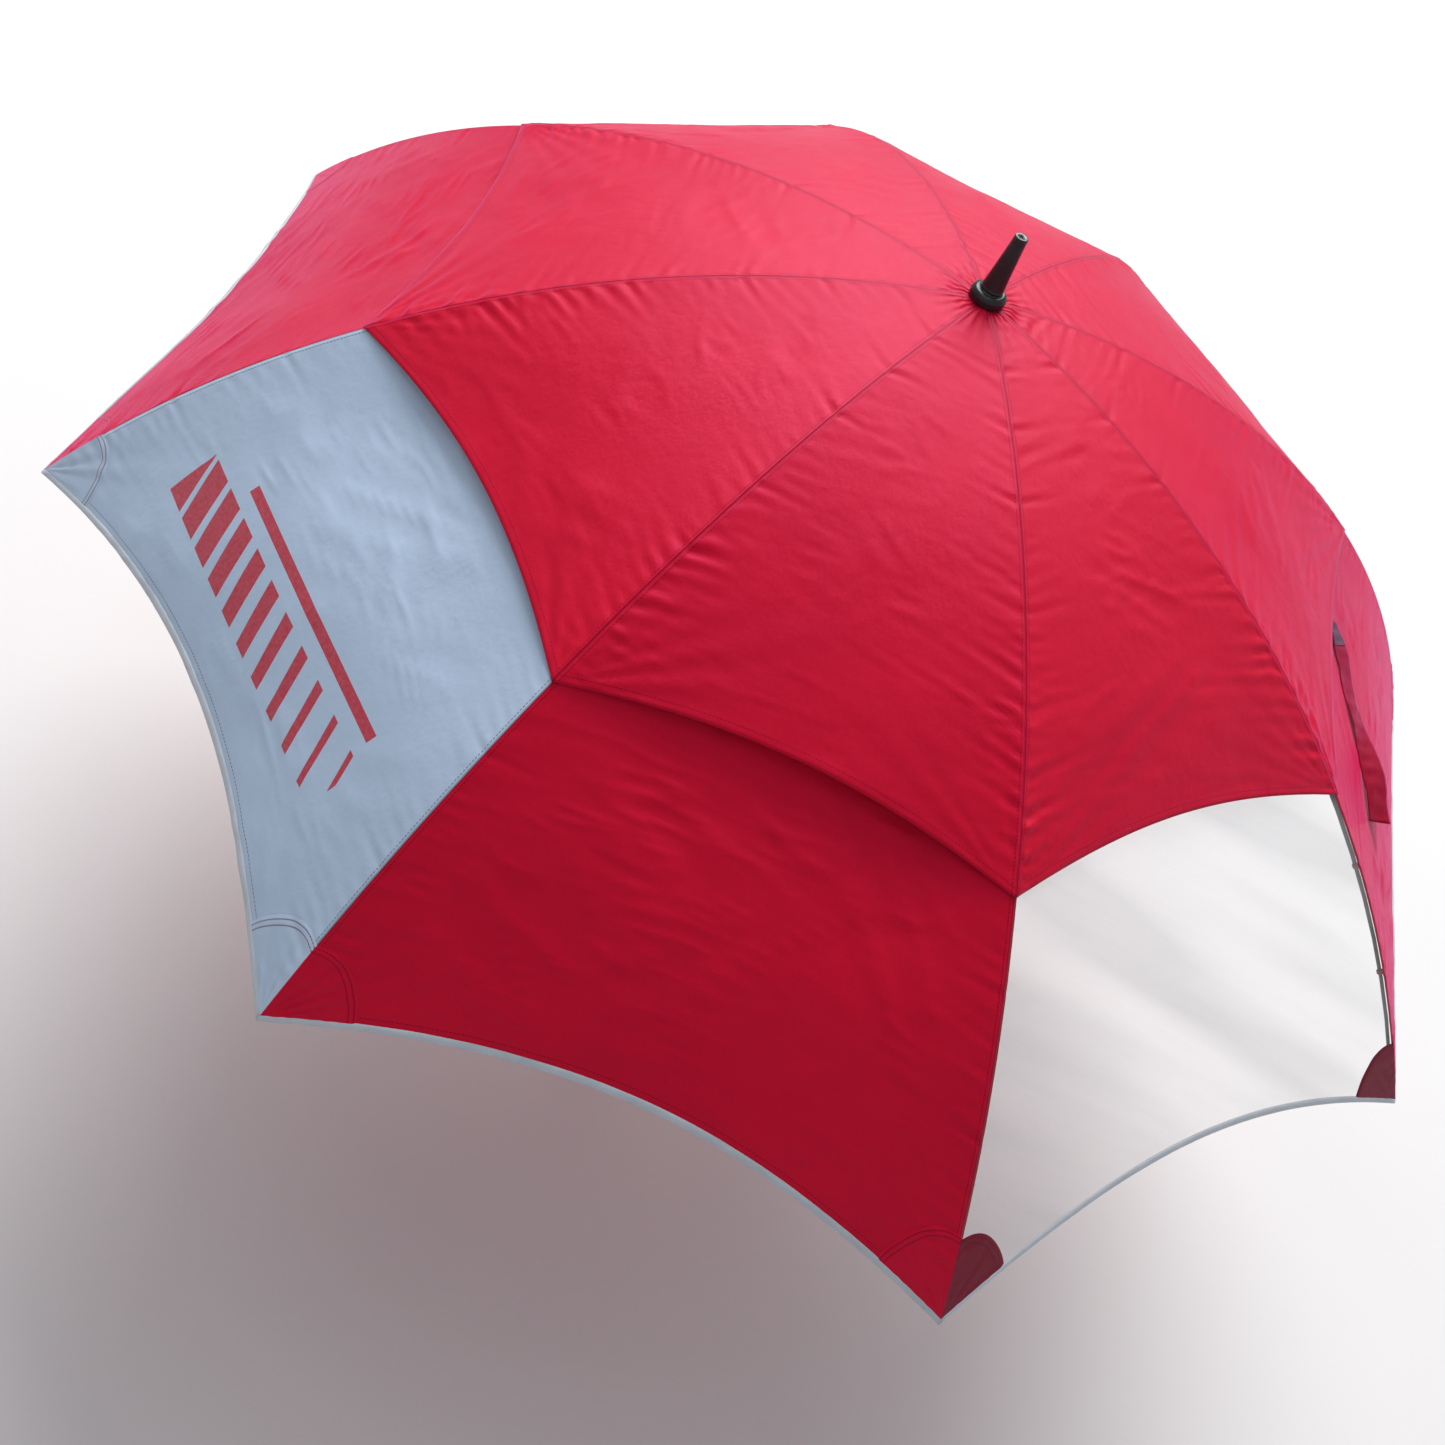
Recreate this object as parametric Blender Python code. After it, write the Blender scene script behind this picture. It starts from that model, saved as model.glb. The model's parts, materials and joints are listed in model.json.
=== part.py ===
"""Golf umbrella: eight ribs, a double (vented) canopy and a straight handle, as separate parts.

Metres, +Z up along the shaft. The origin is on the shaft's axis, in the middle of the hand grip.
The umbrella is open. Each rib's parts are modelled once in the XZ plane and turned about the shaft.
"""

import math

import bmesh
import bpy
from mathutils import Matrix, Vector

LETTERS = "abcdefgh"
RIBS = len(LETTERS)
GORE_ANGLE = 2 * math.pi / RIBS
FIRST_RIB = math.radians(225)  # azimuth of rib a; the others follow anticlockwise seen from above

# Canopy: a rib's arc from the crown to its tip, and the arc's slope below horizontal,
# in radians, as a polynomial of the share of the arc
APEX_Z = 0.930
ARC = 0.864
SLOPE = (0.037, 0.944, -0.053)
VENT_SHARE = 0.617  # where the upper canopy ends on a rib
VENT_SCALLOP = 0.030  # how far its edge bows in between ribs, as a share of the arc
LAP_SHARE = 0.560  # where the lower canopy starts, under the upper one
HEM_SCALLOP = 0.074
HOLE_SHARE = 0.0108  # fabric stops here, at the shaft
FABRIC = 0.0008
LOWER_DEPTH = 0.0015  # the lower canopy's outer face, below the upper one's
VENT_GAP = 0.010  # extra gap between the two canopies in the middle of a gore
SEAM_GAP = 0.0003

# Ribs, stretchers and their pivots
RIB_DEPTH = 0.0056  # rib centre line, below the canopy's outer face
RIB_RADIUS = 0.0022
ROOT_SHARE = 0.0171
BRACKET_SHARE = 0.470
FLEX_SHARE = 0.482
TIP_SHARE = 0.993
FLEX_GAP = 0.0007
PIN_DROP = 0.008  # bracket pin below the rib's centre line
PIN_RADIUS = 0.0012
EYE_RADIUS = 0.0023
STRETCHER_WIDTH = 0.0030
STRETCHER_HEIGHT = 0.0040

# Shaft line
SHAFT_RADIUS = 0.0070
SHAFT_BORE = 0.0050
RUNNING_GAP = 0.0003
WIRE_RADIUS = 0.0007
CROWN_RADIUS = 0.0190
COLLAR_RADIUS = 0.0165
COLLAR_HEIGHT = 0.0110
SPIKE_TOP = 0.0665  # above the apex
RUNNER_RADIUS = 0.0200
SLOT_WIDTH = 0.0038

# Handle
GRIP_HALF = 0.0750
GRIP_RADIUS = 0.0170
CAP_HEIGHT = 0.0060
BUTTON_Z = 0.0500
BUTTON_RADIUS = 0.0057
BUTTON_TRAVEL = 0.0020

RED = (0.62, 0.02, 0.07)
DARK = (0.02, 0.02, 0.02)


# ---- canopy and linkage geometry, in the XZ plane ----

def slope(share):
    return SLOPE[0] + SLOPE[1] * share + SLOPE[2] * share**2


def rib_line(share, depth):
    """Point (x, z) on the rib's arc, depth metres under the canopy's outer face."""
    steps = 60
    slopes = [slope(share * (i + 0.5) / steps) for i in range(steps)]
    along = ARC * share / steps
    x = along * sum(math.cos(b) for b in slopes)
    z = APEX_Z - along * sum(math.sin(b) for b in slopes)
    end = slope(share)
    return Vector((x - depth * math.sin(end), 0, z - depth * math.cos(end)))


CROWN_PIVOT = rib_line(ROOT_SHARE, RIB_DEPTH)
BRACKET_PIVOT = rib_line(BRACKET_SHARE, RIB_DEPTH + PIN_DROP)
FLEX_PIVOT = rib_line(FLEX_SHARE, RIB_DEPTH)
# the rib and the stretcher are equally long, so the runner's pivot mirrors the crown's
RUNNER_PIVOT = Vector((CROWN_PIVOT.x, 0, 2 * BRACKET_PIVOT.z - CROWN_PIVOT.z))


def gore_point(share, across, depth):
    """Point on the gore that starts at azimuth 0: across goes 0 to 1 from its first rib to its second."""
    first = rib_line(share, depth)
    second = Matrix.Rotation(GORE_ANGLE, 3, "Z") @ first
    return first.lerp(second, across)


def edge_share(share, scallop, across):
    """Share of the arc at a scalloped edge, which bows in between the ribs."""
    return share - scallop * (1 - (2 * across - 1) ** 2)


def seam_inset(share):
    chord = 2 * rib_line(share, 0).x * math.sin(GORE_ANGLE / 2)
    return SEAM_GAP / (chord * math.cos(GORE_ANGLE / 2))


# ---- mesh helpers ----

def clear_scene():
    for obj in list(bpy.data.objects):
        bpy.data.objects.remove(obj, do_unlink=True)


def material(name, color, roughness=0.5, metallic=0.0, alpha=1.0):
    mat = bpy.data.materials.new(name)
    mat.use_nodes = True
    shader = mat.node_tree.nodes["Principled BSDF"]
    shader.inputs["Base Color"].default_value = (*color, 1)
    shader.inputs["Roughness"].default_value = roughness
    shader.inputs["Metallic"].default_value = metallic
    shader.inputs["Alpha"].default_value = alpha
    return mat


def add(name, mesh, mat=None, parent=None):
    obj = bpy.data.objects.new(name, mesh)
    bpy.context.scene.collection.objects.link(obj)
    obj.parent = parent
    if mat:
        mesh.materials.append(mat)
    return obj


def finish_mesh(bm, name, smooth=True):
    bmesh.ops.recalc_face_normals(bm, faces=bm.faces)
    for face in bm.faces:
        face.smooth = smooth and len(face.verts) <= 4
    mesh = bpy.data.meshes.new(name)
    bm.to_mesh(mesh)
    bm.free()
    return mesh


def skin(name, rings, wrap=False, smooth=True):
    """Closed solid through rings of points; it wraps round to the first ring or is capped at its ends."""
    bm = bmesh.new()
    loops = [[bm.verts.new(p) for p in ring] for ring in rings]
    pairs = list(zip(loops, loops[1:]))
    if wrap:
        pairs.append((loops[-1], loops[0]))
    for one, two in pairs:
        for i in range(len(one)):
            j = (i + 1) % len(one)
            bm.faces.new((one[i], one[j], two[j], two[i]))
    if not wrap:
        bm.faces.new(loops[0])
        bm.faces.new(loops[-1])
    return finish_mesh(bm, name, smooth)


def lathe(name, profile, segments=32, smooth=True):
    """Solid of revolution about Z of a closed (radius, height) outline that stays off the axis."""
    turns = [2 * math.pi * i / segments for i in range(segments)]
    rings = [[Vector((r * math.cos(t), r * math.sin(t), z)) for r, z in profile] for t in turns]
    return skin(name, rings, wrap=True, smooth=smooth)


def rod(name, points, radii, sides=8, start=0.5):
    """Round rod through points that lie in the XZ plane."""
    rings = []
    for i, (p, r) in enumerate(zip(points, radii)):
        along = (points[min(i + 1, len(points) - 1)] - points[max(i - 1, 0)]).normalized()
        up = Vector((-along.z, 0, along.x))
        turns = [2 * math.pi * (k + start) / sides for k in range(sides)]
        rings.append([p + r * (math.cos(t) * up + math.sin(t) * Vector((0, 1, 0))) for t in turns])
    return skin(name, rings)


def slab(name, low, high):
    """Box between two corners."""
    corners = [(low[0], low[1]), (high[0], low[1]), (high[0], high[1]), (low[0], high[1])]
    return skin(name, [[Vector((x, y, z)) for x, y in corners] for z in (low[2], high[2])], smooth=False)


def disc_y(name, centre, radius, width, sides=12):
    """Cylinder along Y."""
    turns = [2 * math.pi * i / sides for i in range(sides)]
    rim = [Vector((radius * math.cos(t), 0, radius * math.sin(t))) for t in turns]
    return skin(name, [[centre + p + Vector((0, y, 0)) for p in rim] for y in (-width / 2, width / 2)])


def combine(base, cutters, operation):
    """base mesh joined with, or cut by, each of the cutter meshes."""
    target = add("boolean_target", base)
    tools = [add("boolean_tool", mesh) for mesh in cutters]
    for tool in tools:
        step = target.modifiers.new("combine", "BOOLEAN")
        step.operation = operation
        step.solver = "EXACT"
        step.object = tool
    bpy.context.view_layer.update()
    graph = bpy.context.evaluated_depsgraph_get()
    mesh = bpy.data.meshes.new_from_object(target.evaluated_get(graph))
    mesh.name = base.name
    for obj in [target] + tools:
        bpy.data.objects.remove(obj, do_unlink=True)
    return mesh


def sheet(name, rows, columns, point):
    """Closed thin solid: point(u, v, side) gives the face (0) and the back (1) for u and v from 0 to 1."""
    bm = bmesh.new()
    grids = []
    for side in (0, 1):
        rows_of = [[bm.verts.new(point(i / rows, j / columns, side)) for j in range(columns + 1)]
                   for i in range(rows + 1)]
        grids.append(rows_of)
        for i in range(rows):
            for j in range(columns):
                a, b, c, d = rows_of[i][j], rows_of[i][j + 1], rows_of[i + 1][j + 1], rows_of[i + 1][j]
                bm.faces.new((a, b, c, d))
    rims = []
    for grid in grids:
        rims.append(grid[0] + [row[-1] for row in grid[1:]] + grid[-1][-2::-1]
                    + [row[0] for row in grid[-2:0:-1]])
    for i in range(len(rims[0])):
        j = (i + 1) % len(rims[0])
        bm.faces.new((rims[0][i], rims[0][j], rims[1][j], rims[1][i]))
    return finish_mesh(bm, name)


# ---- canopy ----

def upper_gore_mesh():
    def point(u, v, side):
        end = edge_share(VENT_SHARE, VENT_SCALLOP, v)
        share = HOLE_SHARE + (end - HOLE_SHARE) * u**0.8
        inset = seam_inset(share)
        return gore_point(share, inset + (1 - 2 * inset) * v, side * FABRIC)
    return sheet("upper_gore", 10, 8, point)


def vent_dip(share, across):
    """How far the lower canopy sags away from the upper one, greatest in mid gore at the vent."""
    reach = min(1, max(0, (0.78 - share) / (0.78 - VENT_SHARE)))
    return VENT_GAP * reach**2 * (3 - 2 * reach) * (1 - (2 * across - 1) ** 2)


def lower_gore_mesh():
    def point(u, v, side):
        end = edge_share(1, HEM_SCALLOP, v)
        share = LAP_SHARE + (end - LAP_SHARE) * u
        inset = seam_inset(share)
        across = inset + (1 - 2 * inset) * v
        return gore_point(share, across, LOWER_DEPTH + vent_dip(share, across) + side * FABRIC)
    return sheet("lower_gore", 8, 8, point)


def tie_strap_mesh():
    """Closing strap lying on the lower gore, from the vent towards the rib it is sewn beside."""
    start, end, half = (0.603, 0.600), (0.752, 0.235), 0.011

    def point(u, v, side):
        share = start[0] + (end[0] - start[0]) * u
        across = start[1] + (end[1] - start[1]) * u
        centre = gore_point(share, across, LOWER_DEPTH + vent_dip(share, across) - 0.0004)
        ahead = gore_point(share + 0.001, across - 0.00304, LOWER_DEPTH) - gore_point(share, across, LOWER_DEPTH)
        out = gore_point(share, across, 0) - gore_point(share, across, 1)
        sideways = ahead.cross(out).normalized()
        return centre + sideways * half * (2 * v - 1) + out.normalized() * (0.0012 * (1 - side) + 0.0006)
    return sheet("tie_strap", 8, 2, point)


# ---- ribs, brackets and stretchers ----

def eye(mesh, centre, outer, hole, width):
    """mesh with a flat round eye added at centre, bored along Y."""
    mesh = combine(mesh, [disc_y("eye", centre, outer, width)], "UNION")
    return combine(mesh, [disc_y("hole", centre, hole, 3 * width, sides=8)], "DIFFERENCE")


def rib_inner_mesh():
    first = ROOT_SHARE + 0.0075 / ARC
    last = FLEX_SHARE - FLEX_GAP / ARC
    shares = [first + (last - first) * i / 12 for i in range(13)]
    body = rod("rib_inner", [rib_line(s, RIB_DEPTH) for s in shares], [RIB_RADIUS] * 13)
    tab = slab("tab", (0, -0.0009, -0.0016), (0.0095, 0.0009, 0.0016))
    turn = Matrix.Rotation(slope(ROOT_SHARE), 4, "Y")
    tab.transform(Matrix.Translation(CROWN_PIVOT) @ turn)
    body = combine(body, [tab], "UNION")
    return eye(body, CROWN_PIVOT, EYE_RADIUS, WIRE_RADIUS + 0.0004, 0.0020)


def rib_outer_mesh():
    first = FLEX_SHARE + FLEX_GAP / ARC
    shares = [first + (TIP_SHARE - first) * i / 10 for i in range(11)]
    radii = [RIB_RADIUS - 0.0007 * i / 10 for i in range(11)]
    return rod("rib_outer", [rib_line(s, RIB_DEPTH) for s in shares], radii)


def rib_bracket_mesh():
    """Saddle over the rib with two cheeks and the stretcher's pin between them."""
    wide, inner, top, bottom, half = 0.0039, 0.0027, 0.0034, -PIN_DROP - 0.0028, 0.0070
    outline = [(-wide, bottom), (-wide, top - 0.0012), (-wide + 0.0012, top), (wide - 0.0012, top),
               (wide, top - 0.0012), (wide, bottom), (inner, bottom), (inner, top - 0.0008),
               (-inner, top - 0.0008), (-inner, bottom)]
    saddle = skin("rib_bracket", [[Vector((x, y, z)) for y, z in outline] for x in (-half, half)], smooth=False)
    pin = disc_y("pin", Vector((0, 0, -PIN_DROP)), PIN_RADIUS, wide + inner)
    saddle = combine(saddle, [pin], "UNION")
    turn = Matrix.Rotation(slope(BRACKET_SHARE), 4, "Y")
    saddle.transform(Matrix.Translation(rib_line(BRACKET_SHARE, RIB_DEPTH)) @ turn)
    return saddle


def stretcher_mesh():
    length = (BRACKET_PIVOT - RUNNER_PIVOT).length
    y, z = STRETCHER_WIDTH / 2, STRETCHER_HEIGHT / 2
    section = [(-y, -z * 0.6), (-y * 0.6, -z), (y * 0.6, -z), (y, -z * 0.6),
               (y, z * 0.6), (y * 0.6, z), (-y * 0.6, z), (-y, z * 0.6)]
    bar = skin("stretcher", [[Vector((x, a, b)) for a, b in section] for x in (0.0018, length - 0.0018)])
    bar = eye(bar, Vector((0, 0, 0)), 0.0026, WIRE_RADIUS + 0.0003, STRETCHER_WIDTH + 0.0002)
    bar = eye(bar, Vector((length, 0, 0)), 0.0028, PIN_RADIUS + RUNNING_GAP, STRETCHER_WIDTH + 0.0002)
    rise = BRACKET_PIVOT - RUNNER_PIVOT
    turn = Matrix.Rotation(-math.atan2(rise.z, rise.x), 4, "Y")
    bar.transform(Matrix.Translation(RUNNER_PIVOT) @ turn)
    return bar


# ---- shaft line ----

def slots(low, high, depth):
    """Eight radial slots, open at the rim, from radius depth outwards."""
    cutters = []
    for k in range(RIBS):
        cut = slab("slot", (depth, -SLOT_WIDTH / 2, low), (0.03, SLOT_WIDTH / 2, high))
        cut.transform(Matrix.Rotation(FIRST_RIB + k * GORE_ANGLE, 4, "Z"))
        cutters.append(cut)
    return cutters


def crown_mesh():
    z = CROWN_PIVOT.z
    bore, core, groove = SHAFT_RADIUS + RUNNING_GAP, 0.0105, CROWN_PIVOT.x - WIRE_RADIUS - RUNNING_GAP
    top, gap = APEX_Z - 0.0024, WIRE_RADIUS + RUNNING_GAP
    outline = [(bore, top), (CROWN_RADIUS - 0.0008, top), (CROWN_RADIUS, top - 0.0006), (CROWN_RADIUS, z + gap),
               (groove, z + gap), (groove, z - gap), (CROWN_RADIUS, z - gap), (CROWN_RADIUS, z - 0.0038),
               (CROWN_RADIUS - 0.001, z - 0.0046), (core, z - 0.0046), (core, z - 0.0100), (bore, z - 0.0100)]
    body = lathe("crown", outline, 40, smooth=False)
    return combine(body, slots(z - 0.0080, APEX_Z, core + 0.0008), "DIFFERENCE")


def crown_wire_mesh():
    r = WIRE_RADIUS
    ring = [(CROWN_PIVOT.x + r * math.cos(t), CROWN_PIVOT.z + r * math.sin(t))
            for t in (math.pi * i / 3 for i in range(6))]
    return lathe("crown_wire", ring, 40)


def runner_mesh():
    z = RUNNER_PIVOT.z
    bore, tube = SHAFT_RADIUS + RUNNING_GAP, 0.0098
    outline = [(bore, z + 0.0055), (tube + 0.0012, z + 0.0055), (RUNNER_RADIUS - 0.0015, z + 0.0050),
               (RUNNER_RADIUS, z + 0.0035), (RUNNER_RADIUS, z - 0.0040), (RUNNER_RADIUS - 0.0010, z - 0.0050),
               (tube, z - 0.0070), (tube, z - 0.0360), (tube + 0.0016, z - 0.0385), (tube + 0.0018, z - 0.0420),
               (tube, z - 0.0440), (bore, z - 0.0440)]
    body = lathe("runner", outline, 40, smooth=False)
    return combine(body, slots(z - 0.0120, z + 0.0100, tube + 0.0012), "DIFFERENCE")


def runner_stop_mesh():
    z = RUNNER_PIVOT.z + 0.0075
    bore = SHAFT_RADIUS + RUNNING_GAP
    return lathe("runner_stop", [(bore, z), (0.0092, z), (0.0096, z + 0.0010), (0.0096, z + 0.0050),
                                 (0.0088, z + 0.0060), (bore, z + 0.0060)])


def shaft_mesh():
    low, high = -GRIP_HALF + 0.004, APEX_Z + 0.0200
    return lathe("shaft", [(SHAFT_BORE, low), (SHAFT_RADIUS, low), (SHAFT_RADIUS, high), (SHAFT_BORE, high)])


def ferrule_collar_mesh():
    z, r, h = APEX_Z + 0.0003, COLLAR_RADIUS, COLLAR_HEIGHT
    bore = SHAFT_RADIUS + RUNNING_GAP
    outline = [(bore, z), (r - 0.0008, z), (r, z + 0.0010), (r, z + 0.45 * h)]
    for i in range(1, 5):
        t = math.pi / 2 * i / 4
        outline.append((r - 0.0045 * (1 - math.cos(t)), z + 0.45 * h + 0.55 * h * math.sin(t)))
    return lathe("ferrule_collar", outline + [(bore, z + h)], 36)


def ferrule_spike_mesh():
    """Tapered tip with a blind bore for the shaft and a dimple in its flat end; it is closed on the axis."""
    low, high = APEX_Z + 0.0003 + COLLAR_HEIGHT + RUNNING_GAP, APEX_Z + SPIKE_TOP
    bore = SHAFT_RADIUS + RUNNING_GAP
    outline = [(bore, APEX_Z + 0.0205), (bore, low), (0.0098, low), (0.0105, low + 0.0015),
               (0.0102, low + 0.0060), (0.0066, high - 0.0030), (0.0056, high - 0.0006),
               (0.0048, high), (0.0016, high), (0.0006, high - 0.0012)]
    turns = [2 * math.pi * i / 32 for i in range(32)]
    rings = [[Vector((r * math.cos(t), r * math.sin(t), z)) for t in turns] for r, z in outline]
    return skin("ferrule_spike", rings)


# ---- handle ----

def handle_grip_mesh():
    bore = SHAFT_RADIUS + RUNNING_GAP
    steps = 10
    outline = [(bore, -GRIP_HALF)]
    for i in range(steps + 1):
        u = i / steps
        swell = 0.0008 * math.cos(2 * math.pi * u) + 0.0010 * math.exp(-((u - 0.05) / 0.1) ** 2)
        outline.append((GRIP_RADIUS + swell - 0.0008, -GRIP_HALF + 2 * GRIP_HALF * u))
    outline += [(GRIP_RADIUS - 0.0040, GRIP_HALF + 0.0030), (bore, GRIP_HALF + 0.0030)]
    body = lathe("handle_grip", outline, 28)
    pocket = disc_y("pocket", Vector((0, 0, 0)), BUTTON_RADIUS + RUNNING_GAP, 0.0200, 24)
    pocket.transform(Matrix.Translation((0.0190, 0, BUTTON_Z)) @ Matrix.Rotation(math.pi / 2, 4, "Z"))
    return combine(body, [pocket], "DIFFERENCE")


def handle_end_cap_mesh():
    high = -GRIP_HALF - RUNNING_GAP
    low = high - CAP_HEIGHT
    outline = [(0.0010, low), (0.0150, low), (0.0172, low + 0.0020), (0.0176, high - 0.0006), (0.0170, high),
               (0.0010, high)]
    turns = [2 * math.pi * i / 36 for i in range(36)]
    rings = [[Vector((r * math.cos(t), r * math.sin(t), z)) for t in turns] for r, z in outline]
    return skin("handle_end_cap", rings)


def push_button_mesh():
    """Domed button along X, about its own slide axis."""
    back, face = 0.0133, 0.0190
    outline = [(BUTTON_RADIUS - 0.0004, back), (BUTTON_RADIUS, back + 0.0004), (BUTTON_RADIUS, face - 0.0014),
               (BUTTON_RADIUS - 0.0008, face - 0.0005), (BUTTON_RADIUS - 0.0026, face), (0.0010, face + 0.0003)]
    turns = [2 * math.pi * i / 24 for i in range(24)]
    rings = [[Vector((x, r * math.cos(t), BUTTON_Z + r * math.sin(t))) for t in turns] for r, x in outline]
    return skin("push_button", rings)


def button_spring_mesh():
    """Compression spring between the pocket's floor and the button."""
    low, high, coil, wire, turns, steps = 0.0095, 0.0128, 0.0038, 0.00035, 3, 42
    rings = []
    for i in range(steps + 1):
        t = 2 * math.pi * turns * i / steps
        centre = Vector((low + (high - low) * i / steps, coil * math.cos(t), BUTTON_Z + coil * math.sin(t)))
        out = Vector((0, math.cos(t), math.sin(t)))
        rings.append([centre + wire * (math.cos(a) * out + math.sin(a) * Vector((1, 0, 0)))
                      for a in (2 * math.pi * k / 5 for k in range(5))])
    return skin("button_spring", rings)


# ---- assembly ----

def pivot(name, place, azimuth=0.0, parent=None):
    """Empty on a moving body's joint axis; the body's parts are its children."""
    empty = bpy.data.objects.new(name, None)
    empty.empty_display_size = 0.01
    bpy.context.scene.collection.objects.link(empty)
    empty.parent = parent
    empty.location = place
    empty.rotation_euler[2] = azimuth
    return empty


def part(name, mesh, mat, body, origin):
    """One part on its body: the mesh is given in the row frame, before the body's turn about the shaft."""
    mesh = mesh.copy()
    mesh.name = name
    mesh.transform(Matrix.Translation(-origin))
    return add(name, mesh, mat, body)


def build():
    clear_scene()
    black = material("gloss_black", DARK, 0.25)
    steel = material("plated_steel", (0.55, 0.56, 0.58), 0.35, 1.0)
    composite = material("black_fibreglass", (0.03, 0.03, 0.035), 0.35)
    nylon = material("black_nylon", (0.025, 0.025, 0.03), 0.45)
    foam = material("grip_foam", (0.03, 0.03, 0.03), 0.85)
    button_red = material("button_red", (0.45, 0.02, 0.04), 0.4)
    red_cloth = material("red_polyester", RED, 0.45)
    silver_cloth = material("silver_polyester", (0.36, 0.44, 0.55), 0.4)
    clear_film = material("clear_film", (0.9, 0.92, 0.93), 0.1, alpha=0.3)

    world = Vector((0, 0, 0))
    fixed = {
        "shaft": (shaft_mesh, composite),
        "crown": (crown_mesh, nylon),
        "crown_wire": (crown_wire_mesh, steel),
        "ferrule_collar": (ferrule_collar_mesh, black),
        "ferrule_spike": (ferrule_spike_mesh, black),
        "runner_stop": (runner_stop_mesh, nylon),
        "handle_grip": (handle_grip_mesh, foam),
        "handle_end_cap": (handle_end_cap_mesh, black),
        "button_spring": (button_spring_mesh, steel),
    }
    for name, (make, mat) in fixed.items():
        part(name, make(), mat, None, world)

    runner_at = Vector((0, 0, RUNNER_PIVOT.z))
    part("runner", runner_mesh(), nylon, pivot("runner_axis", runner_at), runner_at)
    button_at = Vector((GRIP_RADIUS, 0, BUTTON_Z))
    part("push_button", push_button_mesh(), button_red, pivot("push_button_axis", button_at), button_at)

    inner, outer, bracket = rib_inner_mesh(), rib_outer_mesh(), rib_bracket_mesh()
    stretcher, upper, lower = stretcher_mesh(), upper_gore_mesh(), lower_gore_mesh()
    lower_cloth = {"a": silver_cloth, "c": clear_film}
    for k, letter in enumerate(LETTERS):
        gore = letter + LETTERS[(k + 1) % RIBS]
        azimuth = FIRST_RIB + k * GORE_ANGLE
        turn = Matrix.Rotation(azimuth, 3, "Z")
        rib = pivot(f"rib_inner_{letter}_axis", turn @ CROWN_PIVOT, azimuth)
        tip = pivot(f"rib_outer_{letter}_axis", FLEX_PIVOT - CROWN_PIVOT, parent=rib)
        stay = pivot(f"stretcher_{letter}_axis", BRACKET_PIVOT - CROWN_PIVOT, parent=rib)
        part(f"rib_inner_{letter}", inner, composite, rib, CROWN_PIVOT)
        part(f"rib_bracket_{letter}", bracket, steel, rib, CROWN_PIVOT)
        part(f"upper_gore_{gore}", upper, red_cloth, rib, CROWN_PIVOT)
        part(f"rib_outer_{letter}", outer, composite, tip, FLEX_PIVOT)
        part(f"lower_gore_{gore}", lower, lower_cloth.get(letter, red_cloth), tip, FLEX_PIVOT)
        part(f"stretcher_{letter}", stretcher, composite, stay, BRACKET_PIVOT)
        if letter == "d":
            part("tie_strap", tie_strap_mesh(), red_cloth, tip, FLEX_PIVOT)
    for mesh in [mesh for mesh in bpy.data.meshes if mesh.users == 0]:
        bpy.data.meshes.remove(mesh)


build()
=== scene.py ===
"""Looks of the vented golf umbrella: sewn canopy, window, hem binding, strap, frame and handle.

Every gore is a sheet laid out in two coordinates: share, along the rib's arc from the crown (0) to
the tip (1), and across, from the gore's first rib (0) to its second (1). Cloth pieces follow the
ribs on both of their sides, so that the canopy stays joined while the umbrella folds.
"""
import functools
import json
import math

import bmesh
import bpy
import numpy as np
from mathutils import Matrix, Vector, noise

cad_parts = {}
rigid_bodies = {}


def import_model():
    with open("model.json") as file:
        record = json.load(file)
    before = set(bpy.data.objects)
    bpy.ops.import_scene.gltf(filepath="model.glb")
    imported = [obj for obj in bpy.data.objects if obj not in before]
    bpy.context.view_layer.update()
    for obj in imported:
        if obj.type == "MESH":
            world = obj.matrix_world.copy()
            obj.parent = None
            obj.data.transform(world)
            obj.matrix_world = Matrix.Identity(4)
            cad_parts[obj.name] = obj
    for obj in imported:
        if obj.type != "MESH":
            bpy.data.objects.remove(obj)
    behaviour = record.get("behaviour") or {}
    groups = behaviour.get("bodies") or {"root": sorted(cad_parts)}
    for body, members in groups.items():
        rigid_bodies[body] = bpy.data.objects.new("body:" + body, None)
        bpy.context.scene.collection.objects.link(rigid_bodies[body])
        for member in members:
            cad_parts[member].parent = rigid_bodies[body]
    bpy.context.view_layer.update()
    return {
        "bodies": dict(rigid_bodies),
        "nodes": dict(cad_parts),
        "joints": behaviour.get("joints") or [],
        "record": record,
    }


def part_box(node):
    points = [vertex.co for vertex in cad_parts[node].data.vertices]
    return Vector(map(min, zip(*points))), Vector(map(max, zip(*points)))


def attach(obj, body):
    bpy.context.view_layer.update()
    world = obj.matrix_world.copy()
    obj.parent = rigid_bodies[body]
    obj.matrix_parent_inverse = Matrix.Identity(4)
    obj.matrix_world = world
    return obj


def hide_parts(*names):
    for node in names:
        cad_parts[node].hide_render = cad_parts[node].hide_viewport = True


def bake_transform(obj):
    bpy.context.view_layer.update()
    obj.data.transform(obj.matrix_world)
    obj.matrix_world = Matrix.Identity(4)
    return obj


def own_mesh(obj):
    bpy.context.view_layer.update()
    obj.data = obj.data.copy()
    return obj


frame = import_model()

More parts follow.
